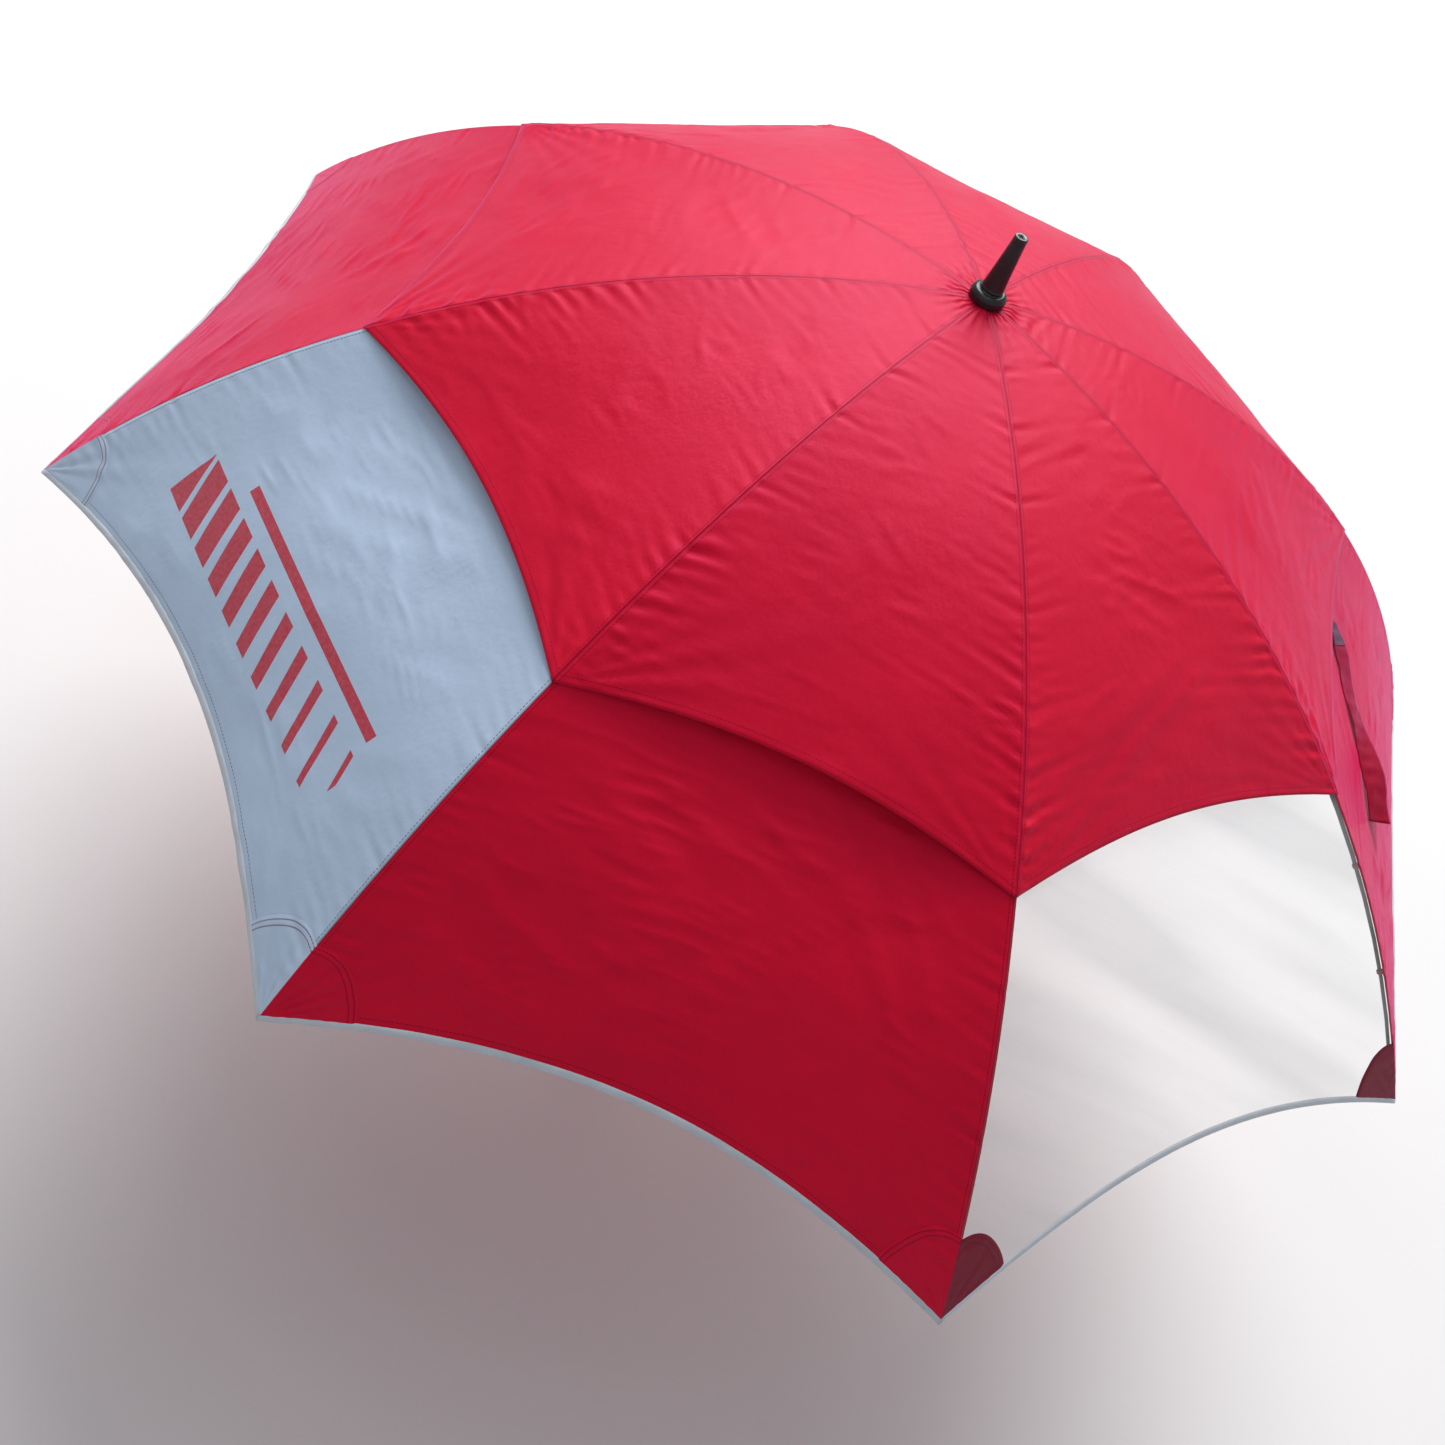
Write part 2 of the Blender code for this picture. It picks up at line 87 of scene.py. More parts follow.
# ---- the frame's driving dimensions: metres, and shares of the rib's arc ----
LETTERS = "abcdefgh"
GORE_ANGLE = math.tau / len(LETTERS)
FIRST_RIB = math.radians(225)
ARC = 0.864
SLOPE = (0.037, 0.944, -0.053)
VENT_SHARE, VENT_SCALLOP = 0.617, 0.030
LAP_SHARE, HEM_SCALLOP = 0.560, 0.074
HOLE_SHARE = 0.0108
FLEX_SHARE = 0.482
RIB_DEPTH = 0.0056
LOWER_DEPTH, VENT_GAP, VENT_GAP_ENDS = 0.0015, 0.010, 0.78
ROLL_PITCH, ROLL_LIMIT = 0.0040, 4.6  # metres per radian, radians
ROLL_STARTS = 0.80  # share of the runner's travel
ROLL_CLEARANCE = 0.0015  # cloth over the closed ribs
FOLD_LIMITS = (0.52, 0.62)  # across a gore, where its flap turns back
LOWER_WRAP = 0.95  # the lower canopy's flaps against the upper's
APEX_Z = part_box("crown")[1].z + 0.0024  # the cloth's outer face, over the crown
JOINTS = {joint["name"]: joint for joint in frame["joints"]}
RATIOS = {c["joint"]: c["ratio"] for c in frame["record"]["behaviour"]["couplings"]}
RUNNER_TRAVEL = JOINTS["runner_slide"]["range_m"][1]

SILVER_GORE, WINDOW_GORE, STRAP_GORE = 0, 2, 3
INNER_TIES, OUTER_TIES = (0.10, 0.17, 0.25, 0.36, 0.45), (0.70, 0.83, 0.93)  # shares of the arc

# ---- view, colours and cloth ----
CAMERA_FROM_APEX = Vector((0.3562, -1.2721, 0.7730))
CAMERA_TURN = (39.54, -19.87, 38.77)  # degrees
CAMERA_LENS = 42.85
RED = (0.62, 0.008, 0.023)
SILVER = (0.45, 0.56, 0.72)
RED_SHEEN, SILVER_SHEEN = (1.0, 0.05, 0.56), (0.82, 0.91, 1.0)
PIPING = (0.50, 0.54, 0.60)
CLOTH_THICKNESS, STRAP_THICKNESS = 0.00035, 0.0006
SEAM_ROW, HEM_ROW, STITCH = 0.0034, 0.0075, 0.0032  # rows off the edge, and a stitch's length
TAPE_WIDTH, HEM_WIDTH = 0.0024, 0.0030  # on the window


def shade(color, factor):
    return tuple(factor * c for c in color)


# ---- surface of the canopy ----

def slope(share):
    return SLOPE[0] + SLOPE[1] * share + SLOPE[2] * share ** 2


TABLE = np.linspace(0, 1.05, 1051)
_middle = slope((TABLE[1:] + TABLE[:-1]) / 2)
_step = ARC * (TABLE[1] - TABLE[0])
ARC_RADIUS = np.concatenate([[0], np.cumsum(np.cos(_middle)) * _step])
ARC_DROP = np.concatenate([[0], np.cumsum(np.sin(_middle)) * _step])


def gore_points(gore, share, across, depth):
    """Points on a gore, depth metres under the upper canopy's outer face."""
    places = (np.asarray(v, float) for v in (share, across, depth))
    share, across, depth = np.broadcast_arrays(*places)
    tilt = slope(share)
    radius = np.interp(share, TABLE, ARC_RADIUS) - depth * np.sin(tilt)
    height = APEX_Z - np.interp(share, TABLE, ARC_DROP) - depth * np.cos(tilt)
    first = FIRST_RIB + gore * GORE_ANGLE
    second = first + GORE_ANGLE
    x = radius * ((1 - across) * math.cos(first) + across * math.cos(second))
    y = radius * ((1 - across) * math.sin(first) + across * math.sin(second))
    return np.stack([x, y, height], -1)


def chord(share):
    """Width of a gore, in metres."""
    return 2 * np.interp(share, TABLE, ARC_RADIUS) * math.sin(GORE_ANGLE / 2)


def gore_name(gore):
    """Letters of the ribs on a gore's two sides."""
    return LETTERS[gore] + LETTERS[(gore + 1) % len(LETTERS)]


def edge_share(share, scallop, across):
    """Share along an edge that bows inwards between two ribs."""
    return share - scallop * (1 - (2 * across - 1) ** 2)


def smooth(low, high, value):
    t = np.clip((value - low) / (high - low), 0, 1)
    return t * t * (3 - 2 * t)


def vent_dip(share, across):
    """How far the lower canopy hangs below the upper one's lap."""
    reach = np.clip((VENT_GAP_ENDS - share) / (VENT_GAP_ENDS - VENT_SHARE), 0, 1)
    return VENT_GAP * reach ** 2 * (3 - 2 * reach) * (1 - (2 * across - 1) ** 2)


# ---- wrinkles ----

def waves(seed, low, high, count, value):
    """Smooth seeded noise of one variable: frequencies are per metre, the result is about -1 to 1."""
    rng = np.random.default_rng(seed)
    frequency = rng.uniform(low, high, count)
    phase = rng.uniform(0, math.tau, count)
    total = sum(np.sin(math.tau * f * value + p) for f, p in zip(frequency, phase))
    return total / math.sqrt(count / 2) / 1.6


def clouds(seed, x, y, wide, tall, angle=0.0):
    """Seeded gradient noise over a plane, in patches wide by tall metres turned by an angle."""
    c, s = math.cos(angle), math.sin(angle)
    u, v = (c * x + s * y) / wide, (c * y - s * x) / tall
    flat = [noise.noise((a, b, seed * 7.31)) for a, b in zip(u.ravel(), v.ravel())]
    return 1.6 * np.reshape(flat, u.shape)


def creases(seed, x, y, wide, tall, angle):
    """Sharp-topped folds, bunched in patches with smooth cloth between them."""
    ridge = 1 - np.abs(clouds(seed, x, y, wide, tall, angle))
    patch = smooth(0.05, 0.65, clouds(seed + 0.5, x, y, 3.2 * wide, 1.1 * tall, angle))
    return (np.clip(ridge, 0, 1) ** 3 - 0.3) * patch


def seam_puckers(seed, along, off, reach, lean):
    """Short creases square to a seam, dying away with the distance off it."""
    pull = waves(seed, 28, 62, 7, along + lean * off)
    pull = pull + 0.5 * waves(seed + 5, 60, 105, 6, along - lean * off)
    sharp = 1 - 2 * np.abs(waves(seed + 11, 22, 48, 5, along + 0.6 * lean * off))
    pull = 0.7 * pull + 0.6 * sharp
    length = reach * (0.55 + 0.6 * waves(seed + 9, 6, 18, 4, along) ** 2)
    return pull * np.exp(-off / np.maximum(length, 0.006)) * smooth(0, 0.007, off)


def corner_fan(seed, along, off, reach, count):
    """Creases that fan out from a sewn corner at along 0, off 0."""
    away = np.hypot(along, off) + 1e-6
    angle = np.arctan2(off, along)
    fan = waves(seed, 0.6 * count / math.tau, 1.4 * count / math.tau, 5, angle)
    return fan * np.exp(-away / reach) * smooth(0.004, 0.030, away)


def tie_pinch(along, off):
    """Little tucks where the seam is tied down to the rib."""
    total = 0
    for tie in INNER_TIES + OUTER_TIES:
        away = along - ARC * tie
        total = total + np.exp(-(away / 0.0035) ** 2) - 0.4 * np.exp(-(away / 0.010) ** 2)
    return -total * np.exp(-off / 0.019) * smooth(0, 0.003, off)


# wrinkles: height, patch width and patch length in metres, and for creases their lean in radians
UPPER_SAG, LOWER_SAG = (0.0026, 0.16, 0.24), (0.0045, 0.20, 0.26)
UPPER_CREASES = ((0.0017, 0.030, 0.11, 1.1), (0.0015, 0.026, 0.09, -0.9), (0.0009, 0.015, 0.05, 1.5))
LOWER_CREASES = ((0.0026, 0.034, 0.12, 2.2), (0.0020, 0.028, 0.09, 0.8), (0.0013, 0.016, 0.05, 1.5))
CREASE_SEEDS = (5, 6, 8)
FILM_STIFFNESS = 0.35  # share of the relief that the window's film keeps


def free_edge(upper, across):
    """Share at which a gore ends: the vent's edge or the hem."""
    return edge_share(VENT_SHARE, VENT_SCALLOP, across) if upper else edge_share(1, HEM_SCALLOP, across)


def relief(gore, upper, share, across):
    """How far the cloth stands off its smooth surface, in metres, outwards positive."""
    width = chord(share)
    along = share * ARC
    seed = 100 * (gore + 1) + (0 if upper else 50)
    height = np.zeros(np.shape(share))
    corner = (VENT_SHARE if upper else 1) * ARC
    if upper:
        strength = 0.30 + 0.90 * smooth(0.25, 0.56, share) + 0.35 * (1 - smooth(0.05, 0.14, share))
    else:
        strength = 0.35 + 0.50 * smooth(0.72, 0.98, share)
    for side in (0, 1):
        off = (across if side == 0 else 1 - across) * width
        rib_seed = seed + 20 * side
        height += 0.0013 * strength * seam_puckers(rib_seed, along, off, 0.030, 0.25)
        fan = corner_fan(rib_seed + 7, corner - along, off, 0.070, 20)
        height += (0.0014 if upper else 0.0007) * fan
        height += 0.0021 * tie_pinch(along, off)
    from_seam = np.minimum(across, 1 - across) * width
    middle = smooth(0, 0.11, from_seam)
    x = (across - 0.5) * width
    sag, *patch = UPPER_SAG if upper else LOWER_SAG
    height += sag * middle * clouds(seed + 3, x, along, *patch)
    for step, (tall, *fold) in zip(CREASE_SEEDS, UPPER_CREASES if upper else LOWER_CREASES):
        height += tall * middle * creases(seed + step, x, along, *fold)
    if upper:
        gather = 1 - smooth(0.020, 0.085, share)
        pleats = np.sin(across * math.tau * 3.5 + gore)
        height += 0.0007 * gather * pleats * smooth(0, 0.003, width / 8)
    elif gore == WINDOW_GORE:
        height *= FILM_STIFFNESS
    from_end = np.clip(free_edge(upper, across) - share, 0, 1) * ARC
    taut = 1 - 0.5 * np.exp(-from_end / 0.020)
    return height * taut * smooth(0, 0.004, from_seam)


# ---- meshes ----

def grid_faces(rows, columns, wrap=False):
    """Quads of a grid of rows by columns points; wrap joins the last column to the first."""
    quads = []
    for i in range(rows - 1):
        for j in range(columns if wrap else columns - 1):
            k = (j + 1) % columns
            here, below = i * columns, (i + 1) * columns
            quads.append((here + j, below + j, below + k, here + k))
    return quads


def new_mesh(name, points, faces, mat, smooth_shading=True):
    mesh = bpy.data.meshes.new(name)
    mesh.from_pydata([tuple(p) for p in np.reshape(points, (-1, 3))], [], faces)
    mesh.validate()
    if smooth_shading:
        mesh.polygons.foreach_set("use_smooth", [True] * len(mesh.polygons))
    obj = bpy.data.objects.new(name, mesh)
    bpy.context.scene.collection.objects.link(obj)
    mesh.materials.append(mat)
    return obj


def add_uv(obj, name, u, v):
    layer = obj.data.uv_layers.new(name=name)
    index = np.empty(len(obj.data.loops), int)
    obj.data.loops.foreach_get("vertex_index", index)
    layer.data.foreach_set("uv", np.stack([np.ravel(u)[index], np.ravel(v)[index]], -1).ravel())


def lathe(name, profile, mat, segments=96):
    """Closed solid of revolution about Z of an outline of (radius, height) points off the axis."""
    turn = np.linspace(0, math.tau, segments, endpoint=False)
    radius, height = np.array(profile, float).T
    points = np.stack([np.outer(radius, np.cos(turn)), np.outer(radius, np.sin(turn)),
                       np.outer(height, np.ones(segments))], -1)
    faces = grid_faces(len(profile), segments, wrap=True)
    last = (len(profile) - 1) * segments
    faces += [(last + j, last + (j + 1) % segments, (j + 1) % segments, j) for j in range(segments)]
    obj = new_mesh(name, points, [tuple(reversed(f)) for f in faces], mat)
    recalculate(obj)
    return obj


def recalculate(obj):
    bm = bmesh.new()
    bm.from_mesh(obj.data)
    bmesh.ops.recalc_face_normals(bm, faces=bm.faces)
    bm.to_mesh(obj.data)
    bm.free()


def tube(name, points, radius, mat, sides):
    """Round closed tube through a list of points."""
    points = [Vector(p) for p in points]
    rings = []
    side = None
    for i, p in enumerate(points):
        ahead = (points[min(i + 1, len(points) - 1)] - points[max(i - 1, 0)]).normalized()
        side = (side - side.dot(ahead) * ahead if side else ahead.orthogonal()).normalized()
        up = ahead.cross(side)
        r = radius[i] if hasattr(radius, "__len__") else radius
        rings.append([p + r * (math.cos(t) * side + math.sin(t) * up)
                      for t in np.linspace(0, math.tau, sides, endpoint=False)])
    return loft(name, rings, mat)


def capped_faces(rows, columns):
    """Faces of a solid through equal rings of points, closed by a face at each end."""
    ends = [tuple(range(columns)), tuple(range((rows - 1) * columns, rows * columns))]
    return grid_faces(rows, columns, wrap=True) + ends


def loft(name, sections, mat):
    """Closed solid through equal rings of points."""
    obj = new_mesh(name, sections, capped_faces(len(sections), len(sections[0])), mat)
    recalculate(obj)
    return obj


# ---- node trees ----

class Tree:
    """A node tree, with one call for each kind of node that the looks and the folding need."""

    def __init__(self, tree):
        self.nodes, self.links = tree.nodes, tree.links

    def add(self, kind, inputs=(), **settings):
        """New node; its inputs are values or other nodes' sockets, by name or number."""
        node = self.nodes.new(kind)
        for name, value in settings.items():
            setattr(node, name, value)
        self.set(node, dict(inputs))
        return node

    def set(self, node, inputs):
        for name, value in inputs.items():
            socket = node.inputs[name]
            if isinstance(value, bpy.types.NodeSocket):
                self.links.new(value, socket)
            else:
                socket.default_value = (*value, 1) if socket.type == "RGBA" else value

    def math(self, operation, *values):
        return self.add("ShaderNodeMath", enumerate(values), operation=operation).outputs[0]

    def times(self, one, two):
        return self.math("MULTIPLY", one, two)

    def line(self, value, slope, offset):
        """value * slope + offset"""
        return self.math("MULTIPLY_ADD", value, slope, offset)

    def below(self, value, limit):
        return self.math("LESS_THAN", value, limit)

    def uv(self, name):
        """A UV map's vector and its two parts."""
        uv = self.add("ShaderNodeUVMap", uv_map=name).outputs[0]
        split = self.add("ShaderNodeSeparateXYZ", {0: uv})
        return uv, split.outputs[0], split.outputs[1]

    def noise(self, vector, scale, detail=3, roughness=0.55, stretch=None):
        if stretch:
            vector = self.add("ShaderNodeMapping", {0: vector, "Scale": stretch}).outputs[0]
        inputs = {"Scale": scale, "Detail": detail, "Roughness": roughness, "Vector": vector}
        return self.add("ShaderNodeTexNoise", inputs).outputs["Fac"]

    def ramp(self, value, low, high, interpolation="LINEAR"):
        """0 at low, 1 at high."""
        inputs = {"Value": value, "From Min": low, "From Max": high}
        return self.add("ShaderNodeMapRange", inputs, interpolation_type=interpolation).outputs[0]

    def mix(self, factor, one, two):
        return self.add("ShaderNodeMix", {0: factor, 6: one, 7: two}, data_type="RGBA").outputs[2]

    def bump(self, height, distance, strength=1.0, normal=None):
        inputs = {"Distance": distance, "Strength": strength, "Height": height}
        return self.add("ShaderNodeBump", inputs | ({"Normal": normal} if normal else {})).outputs[0]


# ---- cloth that follows the ribs on both of its sides, and rolls up as they close ----

def closed_rib(share):
    """Radius and height of the cloth along a closed rib."""
    hinge, flex = JOINTS["rib_hinge_a"], JOINTS["rib_flex_a"]
    radius = np.interp(share, TABLE, ARC_RADIUS)
    height = APEX_Z - np.interp(share, TABLE, ARC_DROP)
    outer = share > FLEX_SHARE
    for joint, angle in ((flex, flex["range_deg"][0]), (hinge, hinge["range_deg"][1])):
        turn = -math.radians(angle)
        pivot_radius, pivot_height = math.hypot(*joint["pos_m"][:2]), joint["pos_m"][2]
        x, z = radius - pivot_radius, height - pivot_height
        moved = outer | (joint is hinge)
        radius = np.where(moved, pivot_radius + math.cos(turn) * x - math.sin(turn) * z, radius)
        height = np.where(moved, pivot_height + math.sin(turn) * x + math.cos(turn) * z, height)
    return radius, height


def rolled_points(gore, upper, share, across, lift):
    """Where a gore's points lie when closed: a flap, out and back, rolled round the closed frame."""
    radius, height = closed_rib(share)
    radius = radius + ROLL_CLEARANCE
    width = chord(share)
    reach = width + radius * GORE_ANGLE
    wrap = (np.sqrt(radius ** 2 + ROLL_PITCH * reach) - radius) / ROLL_PITCH
    wrap = wrap * ROLL_LIMIT / (wrap ** 4 + ROLL_LIMIT ** 4) ** 0.25
    fold = (radius * wrap + ROLL_PITCH * wrap ** 2 / 2) / np.maximum(width, 1e-4)
    fold = np.clip(fold, *FOLD_LIMITS)
    out = np.clip(across / fold, 0, 1)
    back = np.clip((across - fold) / (1 - fold), 0, 1)
    wrap = wrap * (1 if upper else LOWER_WRAP)
    angle = np.where(across < fold, wrap * out, wrap + (GORE_ANGLE - wrap) * back)
    layer = ROLL_PITCH * GORE_ANGLE / 2
    turn_over = smooth(-0.035, 0.035, across - fold)
    nested = 0 if upper else 0.45 * layer
    free = smooth(0, 0.4, angle - GORE_ANGLE)
    side = 1 - 2 * turn_over * free
    radius = radius + ROLL_PITCH * angle - turn_over * layer * (2 - free) - nested * side
    low, high = -0.0001, 0.0011
    if not upper:
        low, high = -0.0005, 0.0001 + 0.0010 * smooth(VENT_SHARE + 0.005, VENT_SHARE + 0.025, share)
    radius = radius + side * np.clip(lift, low, high)
    azimuth = FIRST_RIB + gore * GORE_ANGLE + angle
    return np.stack([radius * np.cos(azimuth), radius * np.sin(azimuth), height], -1)


@functools.cache
def follow_group(count):
    """Geometry nodes that carry each point by the weighted motion of several bodies."""
    group = bpy.data.node_groups.new(f"follow_{count}_bodies", "GeometryNodeTree")
    tree = Tree(group)

    def socket(label, kind, in_out="INPUT"):
        group.interface.new_socket(label, in_out=in_out, socket_type=f"NodeSocket{kind}")

    def stored(label, kind="FLOAT"):
        node = tree.add("GeometryNodeInputNamedAttribute", {"Name": label}, data_type=kind)
        return node.outputs["Attribute"]
    socket("Geometry", "Geometry")
    socket("Geometry", "Geometry", "OUTPUT")
    for i in range(count):
        socket(f"Body {i}", "Object")
    socket("Runner", "Object")
    inlet, outlet = tree.add("NodeGroupInput"), tree.add("NodeGroupOutput")
    travel = tree.add("GeometryNodeObjectInfo", {"Object": inlet.outputs["Runner"]},
                      transform_space="ORIGINAL")
    travel = tree.add("ShaderNodeSeparateXYZ", {0: travel.outputs["Location"]}).outputs[2]
    closing = tree.ramp(travel, -ROLL_STARTS * RUNNER_TRAVEL, -RUNNER_TRAVEL, "SMOOTHERSTEP")
    amount = tree.times(closing, stored("rolled_share"))
    place = tree.add("GeometryNodeInputPosition").outputs[0]
    places = {0: amount, 4: place, 5: stored("rolled_place", "FLOAT_VECTOR")}
    start = tree.add("ShaderNodeMix", places, data_type="VECTOR").outputs[1]
    total = None
    for i in range(count):
        body = tree.add("GeometryNodeObjectInfo", {"Object": inlet.outputs[f"Body {i}"]},
                        transform_space="RELATIVE")
        moved = tree.add("FunctionNodeTransformPoint",
                         {"Vector": start, "Transform": body.outputs["Transform"]})
        part = tree.add("ShaderNodeVectorMath", {0: moved.outputs[0], "Scale": stored(f"follow_{i}")},
                        operation="SCALE").outputs[0]
        total = tree.add("ShaderNodeVectorMath", {0: total, 1: part}).outputs[0] if total else part
    inputs = {"Geometry": inlet.outputs["Geometry"], "Position": total}
    carry = tree.add("GeometryNodeSetPosition", inputs)
    tree.set(outlet, {0: carry.outputs[0]})
    return group


def closed_motion(body):
    """Matrix that carries a body from open to closed."""
    def turn(name):
        joint = JOINTS[name]
        pivot = Matrix.Translation(joint["pos_m"])
        spin = Matrix.Rotation(RATIOS[name] * RUNNER_TRAVEL, 4, Vector(joint["axis"]))
        return pivot @ spin @ pivot.inverted()
    motion = Matrix.Identity(4)
    if body != "root":
        motion = turn(f"rib_hinge_{body[-1]}")
    if body.startswith("rib_outer"):
        motion = motion @ turn(f"rib_flex_{body[-1]}")
    return np.array(motion)


def store(obj, name, values, kind="FLOAT"):
    attribute = obj.data.attributes.new(name, kind, "POINT")
    field = "vector" if kind == "FLOAT_VECTOR" else "value"
    attribute.data.foreach_set(field, values.astype(np.float32).ravel())


def follow_ribs(obj, gore, upper, share, across, rolled):
    """Carries a cloth piece by the ribs beside it, and by the crown where it is clamped there."""
    rolled_across, rolled_lift = (np.broadcast_to(v, np.shape(share)).ravel() for v in rolled)
    share, across = np.ravel(share), np.clip(np.ravel(across), 0, 1)
    rolled = rolled_points(gore, upper, share, np.clip(rolled_across, 0, 1), rolled_lift)
    store(obj, "rolled_share", smooth(0.03, 0.14, share))
    near, far = gore_name(gore)
    clamped = 1 - smooth(0.020, 0.035, share)
    outer = smooth(FLEX_SHARE - 0.015, FLEX_SHARE + 0.015, share)
    weights = {
        f"rib_outer_{near}": (1 - across) * outer,
        f"rib_outer_{far}": across * outer,
    }
    if upper:
        weights[f"rib_inner_{near}"] = (1 - across) * (1 - outer) * (1 - clamped)
        weights[f"rib_inner_{far}"] = across * (1 - outer) * (1 - clamped)
        weights["root"] = clamped
    motion = sum(weight[:, None, None] * closed_motion(body) for body, weight in weights.items())
    held = np.linalg.solve(motion[:, :3, :3], (rolled - motion[:, :3, 3])[:, :, None])[:, :, 0]
    store(obj, "rolled_place", held, "FLOAT_VECTOR")
    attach(obj, f"rib_inner_{near}" if upper else f"rib_outer_{near}")
    step = obj.modifiers.new("follow_ribs", "NODES")
    step.node_group = follow_group(len(weights))
    items = step.node_group.interface.items_tree
    sockets = {item.name: item.identifier for item in items if item.in_out == "INPUT"}
    step[sockets["Runner"]] = frame["bodies"]["runner"]
    for i, (body, weight) in enumerate(weights.items()):
        store(obj, f"follow_{i}", weight)
        step[sockets[f"Body {i}"]] = frame["bodies"][body]


def cloth_piece(name, gore, upper, share, across, lift, faces, mat, uv=None, rolled=None):
    """A piece on a gore's surface, given by arrays of share, across and lift above the cloth.

    uv replaces the cloth's own coordinates; rolled is another across and lift for the closed umbrella.
    """
    share, across, lift = np.broadcast_arrays(share, across, lift)
    inside = np.clip(across, 0, 1)
    depth = 0 if upper else LOWER_DEPTH + vent_dip(share, inside)
    points = gore_points(gore, share, across, depth - relief(gore, upper, share, inside) - lift)
    obj = new_mesh(name, points, faces, mat)
    width = chord(share)
    if uv is None:
        uv = ((across - 0.5) * width, share * ARC)
    add_uv(obj, "cloth", *uv)
    seam = np.minimum(inside, 1 - inside) * width
    add_uv(obj, "edges", seam, (free_edge(upper, inside) - share) * ARC)
    follow_ribs(obj, gore, upper, share, across, rolled or (across, lift))
    return obj


def thicken(obj, thickness):
    step = obj.modifiers.new("thickness", "SOLIDIFY")
    step.thickness = thickness
    step.offset = -1
    return obj


# ---- materials ----

def node_material(name):
    """New material, its tree and its main shader."""
    mat = bpy.data.materials.new(name)
    mat.use_nodes = True
    return mat, Tree(mat.node_tree), mat.node_tree.nodes["Principled BSDF"]


def satin(tint, nap=0.36):
    """Dyed filament cloth: its gloss and its nap both take the dye's colour."""
    return {"Sheen Weight": nap, "Sheen Roughness": 0.40, "Sheen Tint": tint, "Specular Tint": tint,
            "Specular IOR Level": 0.32}


def stitch_row(tree, off, along, at):
    """Mask of a row of stitches, at metres off an edge."""
    near = tree.math("ABSOLUTE", tree.math("SUBTRACT", off, at))
    line = tree.below(near, 0.00045)
    beat = tree.math("FRACT", tree.math("DIVIDE", along, STITCH))
    return tree.times(line, tree.below(beat, 0.66))


def wave(tree, value, pitch):
    return tree.math("SINE", tree.times(value, math.tau / pitch))


def weave(tree, across, along, pitch):
    """Height of a plain weave of round threads."""
    return tree.times(wave(tree, across, pitch), wave(tree, along, pitch))


def graphic_mask(tree, across, along):
    """Generic printed graphic: slanted bars that thin out along a band, over a narrow rule."""
    slant = tree.math("SUBTRACT", across, tree.times(along, 0.55))
    beat = tree.math("FRACT", tree.math("DIVIDE", slant, 0.034))
    duty = tree.line(across, -2.1, 0.50)
    bars = tree.below(beat, duty)

    def between(value, low, high):
        above = tree.math("GREATER_THAN", value, low)
        return tree.times(above, tree.below(value, high))
    band = tree.times(between(along, 0.700, 0.752), between(across, -0.165, 0.165))
    rule = tree.times(between(along, 0.676, 0.686), between(across, -0.110, 0.150))
    return tree.math("MAXIMUM", tree.times(bars, band), rule)


def cloth_material(name, color, dark, light, edge_row=HEM_ROW, thread=None, graphic=None,
                   roughness=0.42, glow=0.10, sheen=RED_SHEEN):
    """Satin polyester: plain weave, uneven dye, crinkle, stitched seams with painted shade in their
    folds, a little light through it.
    """
    mat, tree, shader = node_material(name)
    uv, across, along = tree.uv("cloth")
    _, seam, edge = tree.uv("edges")
    fine = tree.noise(uv, 260, 3, 0.6)
    slub = tree.noise(uv, 900, 2, 0.5, stretch=(1.0, 0.06, 1.0))
    tone = tree.mix(tree.noise(uv, 7, 4), dark, light)
    tone = tree.mix(tree.times(slub, 0.22), tone, color)
    rows = [stitch_row(tree, seam, along, SEAM_ROW), stitch_row(tree, edge, across, edge_row)]
    stitches = tree.math("MAXIMUM", *rows)
    # painted shade: the cloth is darkened to a third in a 1.1 mm band along each seam, as the shade in
    # its fold
    fold = tree.below(seam, 0.0011)
    tone = tree.mix(tree.times(fold, 0.55), tone, shade(color, 0.35))
    tone = tree.mix(tree.times(stitches, 0.75), tone, thread or shade(color, 0.45))
    if graphic:
        wear = tree.line(fine, 0.25, 0.80)
        mask = tree.times(graphic_mask(tree, across, along), wear)
        tone = tree.mix(mask, tone, graphic)
    crinkle = tree.noise(uv, 70, 4, 0.6)
    rumple = tree.noise(uv, 19, 5, 0.62, stretch=(1.0, 0.6, 1.0))
    where = tree.math("POWER", tree.noise(uv, 5, 2), 2.0)
    normal = tree.bump(tree.times(rumple, where), 0.010, 0.5)
    normal = tree.bump(crinkle, 0.0012, 0.30, normal)
    normal = tree.bump(weave(tree, across, along, 0.00055), 0.00006, 0.5, normal)
    normal = tree.bump(stitches, 0.0004, 0.6, normal)
    rough = tree.line(tree.noise(uv, 38, 3), 0.16, roughness - 0.08)
    tree.set(shader, {"Base Color": tone, "Roughness": rough, "Normal": normal} | satin(sheen))
    through = tree.add("ShaderNodeBsdfTranslucent", {"Color": tone, "Normal": normal})
    both = tree.add("ShaderNodeMixShader", {0: glow, 1: shader.outputs[0], 2: through.outputs[0]})
    tree.set(tree.nodes["Material Output"], {"Surface": both.outputs[0]})
    return mat


